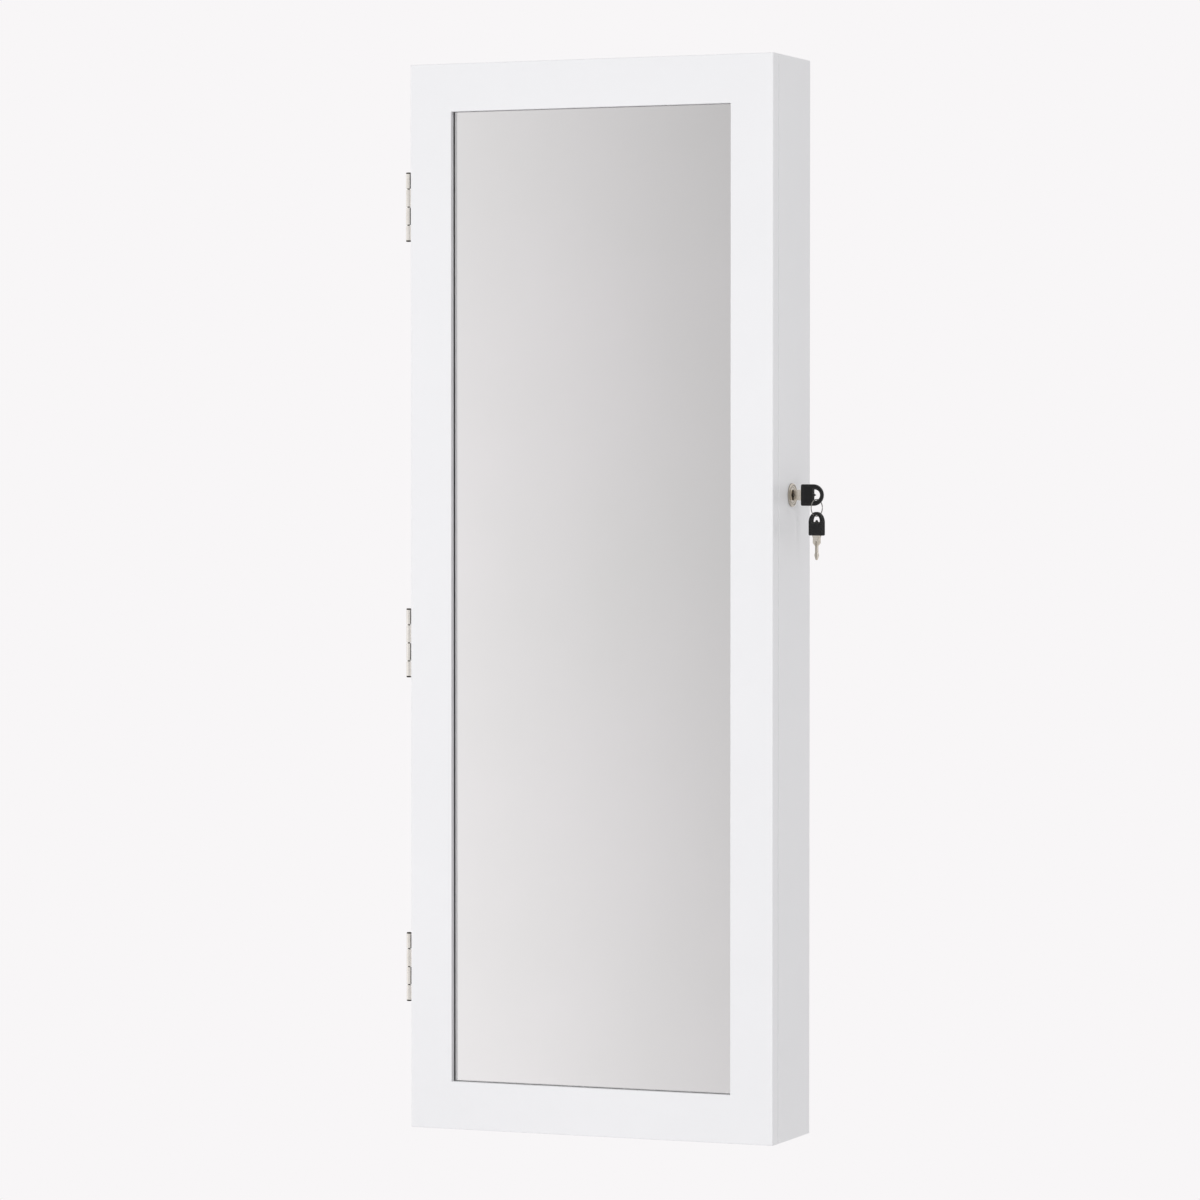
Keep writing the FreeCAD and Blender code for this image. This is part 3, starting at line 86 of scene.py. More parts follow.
class Run(Enum):
    """Direction that a drawn, brushed or sawn pattern runs in, as the scale of each axis."""

    UP = (1.0, 1.0, 0.04)
    ACROSS = (0.04, 1.0, 1.0)
    EVEN = (1.0, 1.0, 1.0)


# ------------------------------------------------------------------------------------------------ small helpers
def linear(colour: str) -> tuple[float, float, float, float]:
    """Turns an sRGB hex colour into linear light.

    Args:
        colour: six hex digits.

    Returns:
        Linear red, green and blue, and an alpha of 1.
    """
    parts = [int(colour[i : i + 2], 16) / 255 for i in (0, 2, 4)]
    light = [c / 12.92 if c <= 0.04045 else ((c + 0.055) / 1.055) ** 2.4 for c in parts]
    return (light[0], light[1], light[2], 1.0)


def per_mm(size: float) -> float:
    """Returns a texture's scale for a pattern of that size in millimetres."""
    return 1 / (size * MM)


def add_node(
    tree: bpy.types.NodeTree,
    kind: str,
    settings: dict | None = None,
    values: dict | None = None,
    links: dict | None = None,
) -> bpy.types.Node:
    """Adds a node with its settings and links.

    Args:
        tree: where the node goes.
        kind: Blender's name for the kind of node.
        settings: the node's own properties.
        values: constants of its sockets, by name or number.
        links: the output that each of its sockets takes, by name or number.

    Returns:
        The node.
    """
    node = tree.nodes.new(kind)
    for name, value in (settings or {}).items():
        setattr(node, name, value)
    for name, value in (values or {}).items():
        node.inputs[name].default_value = value
    for name, source in (links or {}).items():
        tree.links.new(source, node.inputs[name])
    return node


def cleared_tree(owner: bpy.types.Material | bpy.types.World) -> bpy.types.NodeTree:
    """Turns a material's or world's nodes on and empties them.

    Args:
        owner: the material or world.

    Returns:
        Its empty node tree.
    """
    owner.use_nodes = True
    owner.node_tree.nodes.clear()
    return owner.node_tree


def mesh_object(name: str, points: list, faces: list) -> bpy.types.Object:
    """Makes a smooth-shaded mesh object.

    Args:
        name: of the object and its mesh.
        points: vertices in metres.
        faces: vertex numbers of each face.

    Returns:
        The object, linked to the scene.
    """
    mesh = bpy.data.meshes.new(name)
    mesh.from_pydata([tuple(p) for p in points], [], faces)
    mesh.validate()
    mesh.polygons.foreach_set("use_smooth", [True] * len(mesh.polygons))
    made = bpy.data.objects.new(name, mesh)
    bpy.context.scene.collection.objects.link(made)
    return made


def slab(name: str, front: list, rear: list, wide: int) -> bpy.types.Object:
    """Makes a closed slab from two grids of points that face each other.

    Args:
        name: of the object and its mesh.
        front: the first grid's points, row by row.
        rear: the second grid's points, in the same order.
        wide: points in a row.

    Returns:
        The object, linked to the scene.
    """
    deep, under, faces = len(front) // wide, len(front), []
    for j in range(deep - 1):
        for i in range(wide - 1):
            a = j * wide + i
            faces.append([a, a + 1, a + 1 + wide, a + wide])
            faces.append([under + a, under + a + wide, under + a + 1 + wide, under + a + 1])
    rim = list(range(wide)) + [j * wide + wide - 1 for j in range(1, deep)]
    rim += [(deep - 1) * wide + i for i in range(wide - 2, -1, -1)] + [j * wide for j in range(deep - 2, 0, -1)]
    faces += [[b, a, under + a, under + b] for a, b in zip(rim, rim[1:] + rim[:1])]
    return mesh_object(name, front + rear, faces)


def smooth_step(share: float) -> float:
    """Returns the smooth step of a share from 0 to 1."""
    share = min(1.0, max(0.0, share))
    return share * share * (3 - 2 * share)


# ------------------------------------------------------------------------------------------------ finishes
@dataclass(frozen=True)
class Surface:
    """A material in the making: its nodes, its shader, its coordinates in metres, and the finish's own colour."""

    tree: bpy.types.NodeTree
    shader: bpy.types.Node
    place: bpy.types.NodeSocket
    colour: str

    def fix(self, values: dict[str, object]) -> None:
        """Sets constants on the shader's own sockets."""
        for name, value in values.items():
            self.shader.inputs[name].default_value = value

    def feed(self, name: str, source: bpy.types.NodeSocket) -> None:
        """Links a pattern to one of the shader's sockets."""
        self.tree.links.new(source, self.shader.inputs[name])

    def grain(self, size: float, run: Run = Run.EVEN, detail: float = 3.0) -> bpy.types.NodeSocket:
        """Adds a noise of a real size.

        Args:
            size: of the pattern, in millimetres.
            run: the direction that it is drawn out in.
            detail: how many finer noises lie on it.

        Returns:
            The noise's value.
        """
        drawn = add_node(self.tree, "ShaderNodeMapping", values={"Scale": run.value}, links={"Vector": self.place})
        values = {"Scale": per_mm(size), "Detail": detail}
        return add_node(self.tree, "ShaderNodeTexNoise", values=values, links={"Vector": drawn.outputs[0]}).outputs[0]

    def spread(
        self, source: bpy.types.NodeSocket, low: float, high: float, seen: tuple[float, float] = NOISE_RANGE
    ) -> bpy.types.NodeSocket:
        """Spreads the seen part of a source's values over the range from low to high."""
        values = {"From Min": seen[0], "From Max": seen[1], "To Min": low, "To Max": high}
        return add_node(self.tree, "ShaderNodeMapRange", values=values, links={"Value": source}).outputs[0]

    def tint(
        self, share: bpy.types.NodeSocket, other: str, under: bpy.types.NodeSocket | None = None
    ) -> bpy.types.NodeSocket:
        """Mixes a second colour into the base colour.

        Args:
            share: how much of the second colour shows.
            other: the second colour, as sRGB hex.
            under: the colour that it lies on, where that isn't the finish's own.

        Returns:
            The mixed colour.
        """
        values = {6: linear(self.colour), 7: linear(other)}
        links = {0: share} if under is None else {0: share, 6: under}
        mixed = add_node(self.tree, "ShaderNodeMix", {"data_type": "RGBA"}, values, links).outputs[2]
        self.feed("Base Color", mixed)
        return mixed

    def relief(self, height: bpy.types.NodeSocket, depth: float) -> None:
        """Turns a height from 0 to 1 into bump of that depth in millimetres."""
        bump = add_node(self.tree, "ShaderNodeBump", values={"Distance": depth * MM}, links={"Height": height})
        self.feed("Normal", bump.outputs[0])


@dataclass(frozen=True)
class Finish:
    """What all finishes share: a name, a colour, a shine, and a pattern laid over them."""

    name: str
    colour: str
    roughness: float
    metallic: float = 0.0

    def material(self) -> bpy.types.Material:
        """Builds the finish as a material.

        Returns:
            The material, patterned in the object's own coordinates.
        """
        made = bpy.data.materials.new(self.name)
        tree = cleared_tree(made)
        values = {"Base Color": linear(self.colour), "Roughness": self.roughness, "Metallic": self.metallic}
        shader = add_node(tree, "ShaderNodeBsdfPrincipled", values=values)
        add_node(tree, "ShaderNodeOutputMaterial", links={"Surface": shader.outputs[0]})
        place = add_node(tree, "ShaderNodeTexCoord").outputs["Object"]
        self.pattern(Surface(tree, shader, place, self.colour))
        return made

    def pattern(self, on: Surface) -> None:
        """Lays the finish's own pattern on the surface."""
        raise NotImplementedError


@dataclass(frozen=True)
class SprayedLacquer(Finish):
    """Satin lacquer sprayed on fibreboard: a soft even sheen with faint orange peel and faint clouds."""

    cloud: str = "EFEFF1"
    cloud_mm: float = 160.0
    patch_mm: float = 35.0  # patches where the spray lies wetter or drier
    patch_shine: float = 0.03
    peel_mm: float = 2.4  # real orange peel is 1 to 3 mm
    peel_depth: float = 0.006

    def pattern(self, on: Surface) -> None:
        """Lays clouds in the colour, a patchy sheen and orange peel.

        Args:
            on: the material in the making.
        """
        on.tint(on.spread(on.grain(self.cloud_mm), 0.0, 1.0), self.cloud)
        low, high = self.roughness - self.patch_shine, self.roughness + self.patch_shine
        on.feed("Roughness", on.spread(on.grain(self.patch_mm), low, high))
        on.relief(on.grain(self.peel_mm, detail=1.0), self.peel_depth)


@dataclass(frozen=True)
class RawHardboard(Finish):
    """Pressed wood fibre with the print of the press's wire screen: matt, mottled, and lightly ridged both ways."""

    dark: str = "6E533A"
    dark_share: float = 0.75
    fibre_mm: float = 7.0
    screen_mm: float = 3.2  # the real screen's wires are 1.5 mm apart, drawn coarser so that they show
    bend: float = 0.6  # how far the wires wander
    screen_depth: float = 0.12
    screen_shade: float = 0.82  # of the colour left in the print's hollows

    def pattern(self, on: Surface) -> None:
        """Lays mottled fibre in the colour and the screen's print in the relief.

        Args:
            on: the material in the making.
        """
        fibre = on.grain(self.fibre_mm, detail=6.0)
        mottled = on.tint(on.spread(fibre, 0.0, self.dark_share), self.dark)
        wires = []
        for axis in ("X", "Z"):
            settings = {"wave_type": "BANDS", "bands_direction": axis}
            values = {"Scale": per_mm(self.screen_mm) * BANDS_TO_PERIOD, "Distortion": self.bend, "Detail": 1.0}
            wires.append(add_node(on.tree, "ShaderNodeTexWave", settings, values, {"Vector": on.place}).outputs[1])
        links = dict(enumerate(wires))
        height = add_node(on.tree, "ShaderNodeMath", {"operation": "MULTIPLY"}, links=links).outputs[0]
        shade = on.spread(height, self.screen_shade, 1.0, (0.0, 1.0))
        settings = {"data_type": "RGBA", "blend_type": "MULTIPLY"}
        shaded = add_node(on.tree, "ShaderNodeMix", settings, {0: 1.0}, {6: mottled, 7: shade})
        on.feed("Base Color", shaded.outputs[2])
        on.relief(height, self.screen_depth)


@dataclass(frozen=True)
class PlanedBeech(Finish):
    """Turned beech: pale, close-grained, with short dark flecks along the grain."""

    fleck: str = "A5764C"
    fleck_mm: float = 1.2
    fleck_depth: float = 0.03

    def pattern(self, on: Surface) -> None:
        """Lays flecks drawn out along the dowels.

        Args:
            on: the material in the making.
        """
        flecks = on.grain(self.fleck_mm, Run.ACROSS, 4.0)
        on.tint(on.spread(flecks, 0.0, 1.0), self.fleck)
        on.relief(flecks, self.fleck_depth)


@dataclass(frozen=True)
class Flock(Finish):
    """Velvet flock, short fibres standing in glue: nearly black from the front, with a soft rim and brushed patches."""

    brushed: str = "1E1E23"
    sheen_colour: str = "8A8A96"
    sheen: float = 0.85
    sheen_roughness: float = 0.38
    shine: float = 0.12  # level of the fibres' own reflection, 0.5 for a plain plastic
    nap_mm: float = 15.0
    pile_mm: float = 1.1  # real fibres are 0.02 mm thick and clump at about 0.4 mm, drawn coarser so that they show
    pile_depth: float = 0.25
    brushed_from: tuple[float, float] = (0.14, 0.38)  # nap times pile where brushed patches begin and are full

    def pattern(self, on: Surface) -> None:
        """Lays brushed patches in the colour, clumped pile in the relief, and the sheen of the fibre tips.

        Args:
            on: the material in the making.
        """
        on.fix({"Sheen Weight": self.sheen, "Sheen Roughness": self.sheen_roughness})
        on.fix({"Sheen Tint": linear(self.sheen_colour), "Specular IOR Level": self.shine})
        nap = on.grain(self.nap_mm, detail=4.0)
        pile = on.grain(self.pile_mm, detail=2.0)
        both = add_node(on.tree, "ShaderNodeMath", {"operation": "MULTIPLY"}, links={0: nap, 1: pile}).outputs[0]
        on.tint(on.spread(both, 0.0, 1.0, self.brushed_from), self.brushed)
        on.relief(pile, self.pile_depth)


@dataclass(frozen=True)
class PlatedMetal(Finish):
    """Plated metal: a clear reflection, softened along the lines that drawing, rolling or casting left under the plate.

    Narrow gaps and mouths are darkened with painted shade, by how little of the surroundings they see.
    """

    stain: str = "9A938A"
    stain_mm: float = 9.0
    line_mm: float = 0.35
    run: Run = Run.UP
    line_depth: float = 0.004
    line_shine: tuple[float, float] = (0.75, 1.35)  # roughness on and off the lines, as shares of its own
    stain_share: float = 0.35
    gap_shade: str = "1A1511"
    gap_shade_reach: float = 2.2  # how wide a gap still gets painted shade, in millimetres
    gap_shade_share: float = 0.92
    gap_shade_from: tuple[float, float] = (0.35, 0.75)  # openness at which the painted shade is fullest and at which it ends

    def pattern(self, on: Surface) -> None:
        """Lays stains and painted shade in gaps in the colour, and the lines under the plate in the shine and the
        relief.

        Args:
            on: the material in the making.
        """
        stained = on.tint(on.spread(on.grain(self.stain_mm, detail=5.0), 0.0, self.stain_share), self.stain)
        # Painted shade: the colour darkens where ambient occlusion finds little open space around the surface.
        reach = {"Distance": self.gap_shade_reach * MM}
        openness = add_node(on.tree, "ShaderNodeAmbientOcclusion", {"samples": EDGE_SAMPLES}, reach).outputs["AO"]
        on.tint(on.spread(openness, self.gap_shade_share, 0.0, self.gap_shade_from), self.gap_shade, stained)
        lines = on.grain(self.line_mm, self.run, 2.0)
        low, high = (self.roughness * share for share in self.line_shine)
        on.feed("Roughness", on.spread(lines, low, high))
        on.relief(lines, self.line_depth)


@dataclass(frozen=True)
class MouldedPlastic(Finish):
    """Moulded plastic with the fine spark-eroded grain of its tool: a dull sheen, and a painted highlight along its
    edges.
    """

    flow: str = "232326"
    flow_mm: float = 6.0
    flow_share: float = 0.6
    grain_mm: float = 0.5  # the real grain is 0.05 mm, drawn coarser so that it shows
    grain_depth: float = 0.02
    shine: float = 0.5  # level of the surface reflection, 0.5 for a plain plastic
    # Colour of the painted highlight along the edges, with its reach and share below.
    edge: str = "4A4A4C"
    highlight_edge_mm: float = 0.35  # how far from a corner the painted edge highlight reaches
    highlight_share: float = 0.8
    grain_shine: tuple[float, float] = (0.06, 0.08)  # how much less and more rough than the finish's own
    highlight_from: tuple[float, float] = (0.88, 0.995)  # how far a corner turns: sharp enough for the painted highlight, and flat

    def pattern(self, on: Surface) -> None:
        """Lays flow clouds and a painted edge highlight in the colour, and the tool's grain in the shine and the
        relief.

        Args:
            on: the material in the making.
        """
        flowed = on.tint(on.spread(on.grain(self.flow_mm), 0.0, self.flow_share), self.flow)
        # Painted highlight: the colour lightens where the surface turns at a corner.
        corner = add_node(on.tree, "ShaderNodeBevel", {"samples": EDGE_SAMPLES}, {"Radius": self.highlight_edge_mm * MM})
        face = add_node(on.tree, "ShaderNodeNewGeometry")
        links = {0: corner.outputs[0], 1: face.outputs["Normal"]}
        turned = add_node(on.tree, "ShaderNodeVectorMath", {"operation": "DOT_PRODUCT"}, links=links).outputs["Value"]
        on.tint(on.spread(turned, self.highlight_share, 0.0, self.highlight_from), self.edge, flowed)
        on.fix({"Specular IOR Level": self.shine})
        pits = on.grain(self.grain_mm, detail=2.0)
        low, high = self.roughness - self.grain_shine[0], self.roughness + self.grain_shine[1]
        on.feed("Roughness", on.spread(pits, low, high))
        on.relief(pits, self.grain_depth)


@dataclass(frozen=True)
class FloatGlass(Finish):
    """Clear float glass: sharp reflections, with a trace of haze where it was wiped."""

    haze: float = 0.012
    wipe_mm: float = 90.0
    ior: float = 1.52

    def pattern(self, on: Surface) -> None:
        """Makes the body clear and lays the haze of wiping in its shine."""
        on.fix({"Transmission Weight": 1.0, "IOR": self.ior})
        on.feed("Roughness", on.spread(on.grain(self.wipe_mm, Run.UP), 0.0, self.haze))


@dataclass(frozen=True)
class SilverFilm(Finish):
    """Silver laid on the glass from a bath: the brightest metal, without any texture of its own but a faint cast."""

    cast: str = "F2F2F1"
    cast_mm: float = 220.0

    def pattern(self, on: Surface) -> None:
        """Lays a faint cast over the film."""
        on.tint(on.spread(on.grain(self.cast_mm), 0.0, 1.0), self.cast)


@dataclass(frozen=True)
class GreyCard(Finish):
    """Pressed grey card: matt, with the fibres and specks of waste paper in it."""

    speck: str = "6F675B"
    speck_share: float = 0.6
    fibre_mm: float = 1.5
    fibre_depth: float = 0.05

    def pattern(self, on: Surface) -> None:
        """Lays specks in the colour and fibres in the relief.

        Args:
            on: the material in the making.
        """
        fibres = on.grain(self.fibre_mm, detail=6.0)
        on.tint(on.spread(fibres, 0.0, self.speck_share), self.speck)
        on.relief(fibres, self.fibre_depth)


@dataclass(frozen=True)
class CastSilicone(Finish):
    """Clear silicone cast in a dome: milky, soft, and slightly uneven."""

    clear: float = 0.45  # share of the light that goes through
    ior: float = 1.41
    milk: str = "D9DAD6"
    milk_mm: float = 1.5
    milk_share: float = 0.3
    milk_shine: float = 0.08

    def pattern(self, on: Surface) -> None:
        """Lets light through, and lays a faint unevenness in the shine.

        Args:
            on: the material in the making.
        """
        on.fix({"Transmission Weight": self.clear, "IOR": self.ior})
        milk = on.grain(self.milk_mm)
        low, high = self.roughness - self.milk_shine, self.roughness + self.milk_shine
        on.feed("Roughness", on.spread(milk, low, high))
        on.tint(on.spread(milk, 0.0, self.milk_share), self.milk)


@dataclass(frozen=True)
class SinteredFerrite(Finish):
    """Pressed and fired iron oxide: dark grey, dull, and finely pitted."""

    pit: str = "3A3A3B"
    pit_mm: float = 0.6
    pit_share: float = 0.7
    pit_depth: float = 0.04

    def pattern(self, on: Surface) -> None:
        """Lays pits in the colour and the relief.

        Args:
            on: the material in the making.
        """
        pits = on.grain(self.pit_mm, detail=4.0)
        on.tint(on.spread(pits, 0.0, self.pit_share), self.pit)
        on.relief(pits, self.pit_depth)


@dataclass
class Palette:
    """The finishes by the record's slot, and the silver film, which has no slot of its own."""

    def __post_init__(self) -> None:
        """Builds every material once. Each line's comment says what the finish gives the eye beside its kind's own."""
        finishes = {
            Slot.PAINT: SprayedLacquer("satin_lacquer_sprayed_on_fibreboard", "F1F1F3", 0.38),  # cool white, no grain
            Slot.BACK: RawHardboard("hardboard_pressed_raw", "8A6B4C", 0.75),  # mid brown
            Slot.WOOD: PlanedBeech("beech_turned_unfinished", "C79C6D", 0.6),  # warm and pale
            Slot.VELVET: Flock("velvet_flock_black", "0D0D10", 0.85),  # a depth that swallows light
            Slot.ZINC: PlatedMetal("steel_zinc_plated", "C3C7CB", 0.3, 1.0, stain="A3A7AC"),  # bluish, a little cloudy
            # Long soft highlights along the rolled barrels, slightly warm.
            Slot.HINGE_NICKEL: PlatedMetal("steel_rolled_satin_nickel_plated", "F7F4EE", 0.25, 1.0, stain="E0DACF"),
            # Nearly black between the bright knuckles.
            Slot.PIN: PlatedMetal("steel_oil_blackened", "45403A", 0.42, 1.0, stain="2B2723"),
            # Sharp warm reflections, with painted shade darkening the grooves and the keyway.
            Slot.LOCK_NICKEL: PlatedMetal(
                "zinc_alloy_cast_bright_nickel_plated",
                "CFC8BC",
                0.13,
                1.0,
                stain="7E7566",
                run=Run.EVEN,
                gap_shade_reach=3.6,
            ),
            # A thin bright line along each rod.
            Slot.ROD: PlatedMetal("steel_wire_drawn_polished_nickel", "D9D5CE", 0.1, 1.0, run=Run.ACROSS),
            # Soft black, with a painted highlight along its edges.
            Slot.KEY_PLASTIC: MouldedPlastic(
                "abs_moulded_black", "101011", 0.4, flow="181819", shine=0.3, edge="6A6A67"
            ),
            # Warm, with the yellow of the brass near the surface.
            Slot.KEY_BLADE: PlatedMetal(
                "brass_stamped_nickel_plated", "F3EDE3", 0.24, 1.0, stain="C8BBA3", stain_share=0.5
            ),
            Slot.RING_WIRE: PlatedMetal("spring_steel_wire_bright", "9C9A97", 0.16, 1.0, run=Run.EVEN),  # neutral grey
            Slot.GLASS: FloatGlass("float_glass_clear", "FFFFFF", 0.0),  # seen only by its edge and its reflection
            Slot.CARD: GreyCard("card_grey_pressed", "9A9184", 0.9),  # warm grey
            Slot.BUMPER: CastSilicone("silicone_cast_clear", "F0F0EE", 0.35),  # a pale drop
            # Off-white, a little yellower than the lacquer, with a painted highlight along its edges.
            Slot.CATCH_PLASTIC: MouldedPlastic("abs_moulded_white", "ECECE9", 0.4, flow="E4E4E0", edge="F4F4F2"),
            Slot.MAGNET: SinteredFerrite("ferrite_sintered", "262627", 0.7),  # like slate
        }
        self.materials = {slot: finish.material() for slot, finish in finishes.items()}
        self.silver = SilverFilm("silver_film_deposited", "F6F5F5", 0.0, 1.0).material()

    def dress(self, slot: Slot, nodes: Iterable[str]) -> None:
        """Gives CAD nodes the finish of a slot."""
        for name in nodes:
            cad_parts[name].material_slots[0].material = self.materials[slot]


# ------------------------------------------------------------------------------------------------ the studio
@dataclass
class ViewPoint:
    """The photograph's camera, in the frame's metres and degrees."""

    x: float = 1.8848
    y: float = -4.7048
    z: float = 0.1107
    yaw: float = 22.17
    pitch: float = 1.29
    lens: float = 148.785  # millimetres on a sensor 36 mm wide
    sensor: float = 36.0

    def build(self) -> None:
        """Makes the camera and sets it as the scene's."""
        data = bpy.data.cameras.new("camera")
        data.lens, data.sensor_width = self.lens, self.sensor
        camera = bpy.data.objects.new("camera", data)
        yaw, pitch = math.radians(self.yaw), math.radians(self.pitch)
        gaze = Vector((-math.sin(yaw) * math.cos(pitch), math.cos(yaw) * math.cos(pitch), -math.sin(pitch)))
        camera.rotation_mode = "QUATERNION"
        camera.rotation_quaternion = gaze.to_track_quat("-Z", "Y")
        camera.location = (self.x, self.y, self.z)
        bpy.context.scene.collection.objects.link(camera)
        bpy.context.scene.camera = camera


@dataclass(frozen=True)
class Lamp:
    """A soft lamp that faces the cabinet. Sizes in metres."""

    name: str
    place: tuple[float, float, float]
    width: float
    height: float
    power: float
    colour: str = "FFFFFF"

    def build(self) -> None:
        """Makes the lamp. The studio's panels stand in for it in reflections, so the mirror shows no lamp."""
        data = bpy.data.lights.new(self.name, "AREA")
        data.shape, data.size, data.size_y = "RECTANGLE", self.width, self.height
        data.energy, data.color = self.power, linear(self.colour)[:3]
        lamp = bpy.data.objects.new(self.name, data)
        lamp.location = self.place
        lamp.rotation_mode = "QUATERNION"
        lamp.rotation_quaternion = (-Vector(self.place)).to_track_quat("-Z", "Y")
        lamp.visible_camera = lamp.visible_glossy = lamp.visible_transmission = False
        bpy.context.scene.collection.objects.link(lamp)


@dataclass
class Studio:
    """Pale surroundings, plain light and a pale floor well below the hanging cabinet."""

    backdrop: str = "F8F6F7"
    ambient: float = 0.6
    lamps: tuple[Lamp, ...] = (
        Lamp("front_lamp", (-0.9, -4.6, 0.9), 2.4, 2.4, 59.0),
        Lamp("right_strip", (1.9, -1.2, 0.35), 0.6, 2.4, 8.0),
        Lamp("left_strip", (-1.8, -1.6, 0.1), 0.6, 2.4, 5.0),
    )
    # Grey levels of what reflections see, by the angle in degrees from straight in front of the cabinet, to its left.
    panels: tuple[tuple[float, float], ...] = (
        (-180.0, 0.95), (-120.0, 0.7), (-88.0, 0.5), (-58.0, 0.26), (-30.0, 0.85), (-5.0, 0.85), (17.0, 0.489),
        (28.0, 1.019), (60.0, 1.05), (95.0, 0.8), (140.0, 0.9), (180.0, 0.95),
    )
    brightest: float = 1.2  # level of the ramp's white
    tilt: float = 0.155  # how far the panels lean, in degrees to the left for each degree down
    floor_level: float = -1.2
    floor_radius: float = 2.5
    floor_glow: float = 0.47  # share of the backdrop's light that the floor gives off, which keeps its shadow soft
    floor_corners: int = 96
    floor_fade: tuple[float, float] = (0.45, 0.98)  # shares of the radius where the floor begins and ends to fade
    ceiling: tuple[float, float] = (0.5, 0.85)  # upward slope at which reflections begin to turn white, and are white

    def build(self) -> None:
        """Makes the surroundings, the lamps and the floor."""
        bpy.context.scene.view_settings.view_transform = "Standard"
        self.build_world()
        for lamp in self.lamps:
            lamp.build()
        self.build_floor()

    def build_world(self) -> None:
        """Makes the world: flat behind the cabinet, soft panels in reflections, and an even light on everything."""
        world = bpy.data.worlds.new("studio")
        bpy.context.scene.world = world
        tree = cleared_tree(world)
        even = add_node(tree, "ShaderNodeBackground", values={0: WHITE, 1: self.ambient})
        flat = add_node(tree, "ShaderNodeBackground", values={0: linear(self.backdrop)})
        panels = add_node(tree, "ShaderNodeBackground", values={1: self.brightest}, links={0: self.panel_levels(tree)})
        rays = add_node(tree, "ShaderNodeLightPath").outputs
        links = {0: rays["Is Glossy Ray"], 1: rays["Is Transmission Ray"]}
        seen = add_node(tree, "ShaderNodeMath", {"operation": "MAXIMUM"}, links=links)
        links = {0: seen.outputs[0], 1: even.outputs[0], 2: panels.outputs[0]}
        mirrored = add_node(tree, "ShaderNodeMixShader", links=links)
        links = {0: rays["Is Camera Ray"], 1: mirrored.outputs[0], 2: flat.outputs[0]}
        shown = add_node(tree, "ShaderNodeMixShader", links=links)
        add_node(tree, "ShaderNodeOutputWorld", links={0: shown.outputs[0]})

    def panel_levels(self, tree: bpy.types.NodeTree) -> bpy.types.NodeSocket:
        """Works out the grey of the panels in each direction.

        Args:
            tree: the world's nodes.

        Returns:
            The grey, as a share of the brightest.
        """
        way = add_node(tree, "ShaderNodeTexCoord").outputs["Generated"]
        axes = add_node(tree, "ShaderNodeSeparateXYZ", links={0: way}).outputs
        left = add_node(tree, "ShaderNodeMath", {"operation": "MULTIPLY"}, {1: -1.0}, {0: axes["X"]}).outputs[0]
        front = add_node(tree, "ShaderNodeMath", {"operation": "MULTIPLY"}, {1: -1.0}, {0: axes["Y"]}).outputs[0]
        turn = add_node(tree, "ShaderNodeMath", {"operation": "ARCTAN2"}, links={0: left, 1: front}).outputs[0]
        lean = add_node(tree, "ShaderNodeMath", {"operation": "MULTIPLY"}, {1: -self.tilt}, {0: axes["Z"]}).outputs[0]
        along = add_node(tree, "ShaderNodeMath", {"operation": "ADD"}, links={0: turn, 1: lean}).outputs[0]
        values = {"From Min": -math.pi, "From Max": math.pi}
        share = add_node(tree, "ShaderNodeMapRange", values=values, links={"Value": along}).outputs[0]
        ramp = add_node(tree, "ShaderNodeValToRGB", links={0: share})
        ramp.color_ramp.interpolation = "EASE"
        stops = ramp.color_ramp.elements
        while len(stops) < len(self.panels):
            stops.new(0.5)
        pale = linear(self.backdrop)
        for stop, (angle, level) in zip(stops, self.panels):
            stop.position = angle / 360 + 0.5
            stop.color = tuple(c / pale[0] * level / self.brightest for c in pale[:3]) + (1.0,)
        values = {"From Min": self.ceiling[0], "From Max": self.ceiling[1]}
        settings = {"interpolation_type": "SMOOTHSTEP"}
        above = add_node(tree, "ShaderNodeMapRange", settings, values, {"Value": axes["Z"]}).outputs[0]
        lit = add_node(tree, "ShaderNodeMix", {"data_type": "RGBA"}, {7: WHITE}, {0: above, 6: ramp.outputs[0]})
        return lit.outputs[2]

    def build_floor(self) -> None:
        """Makes the floor, a round sheet that fades out at its rim and shows nothing from below."""
        ring = [
            Vector((math.cos(a) * self.floor_radius, math.sin(a) * self.floor_radius, self.floor_level))
            for a in (math.tau * i / self.floor_corners for i in range(self.floor_corners))
        ]
        floor = mesh_object("floor", ring, [list(range(self.floor_corners))])
        floor.data.materials.append(self.floor_paper())

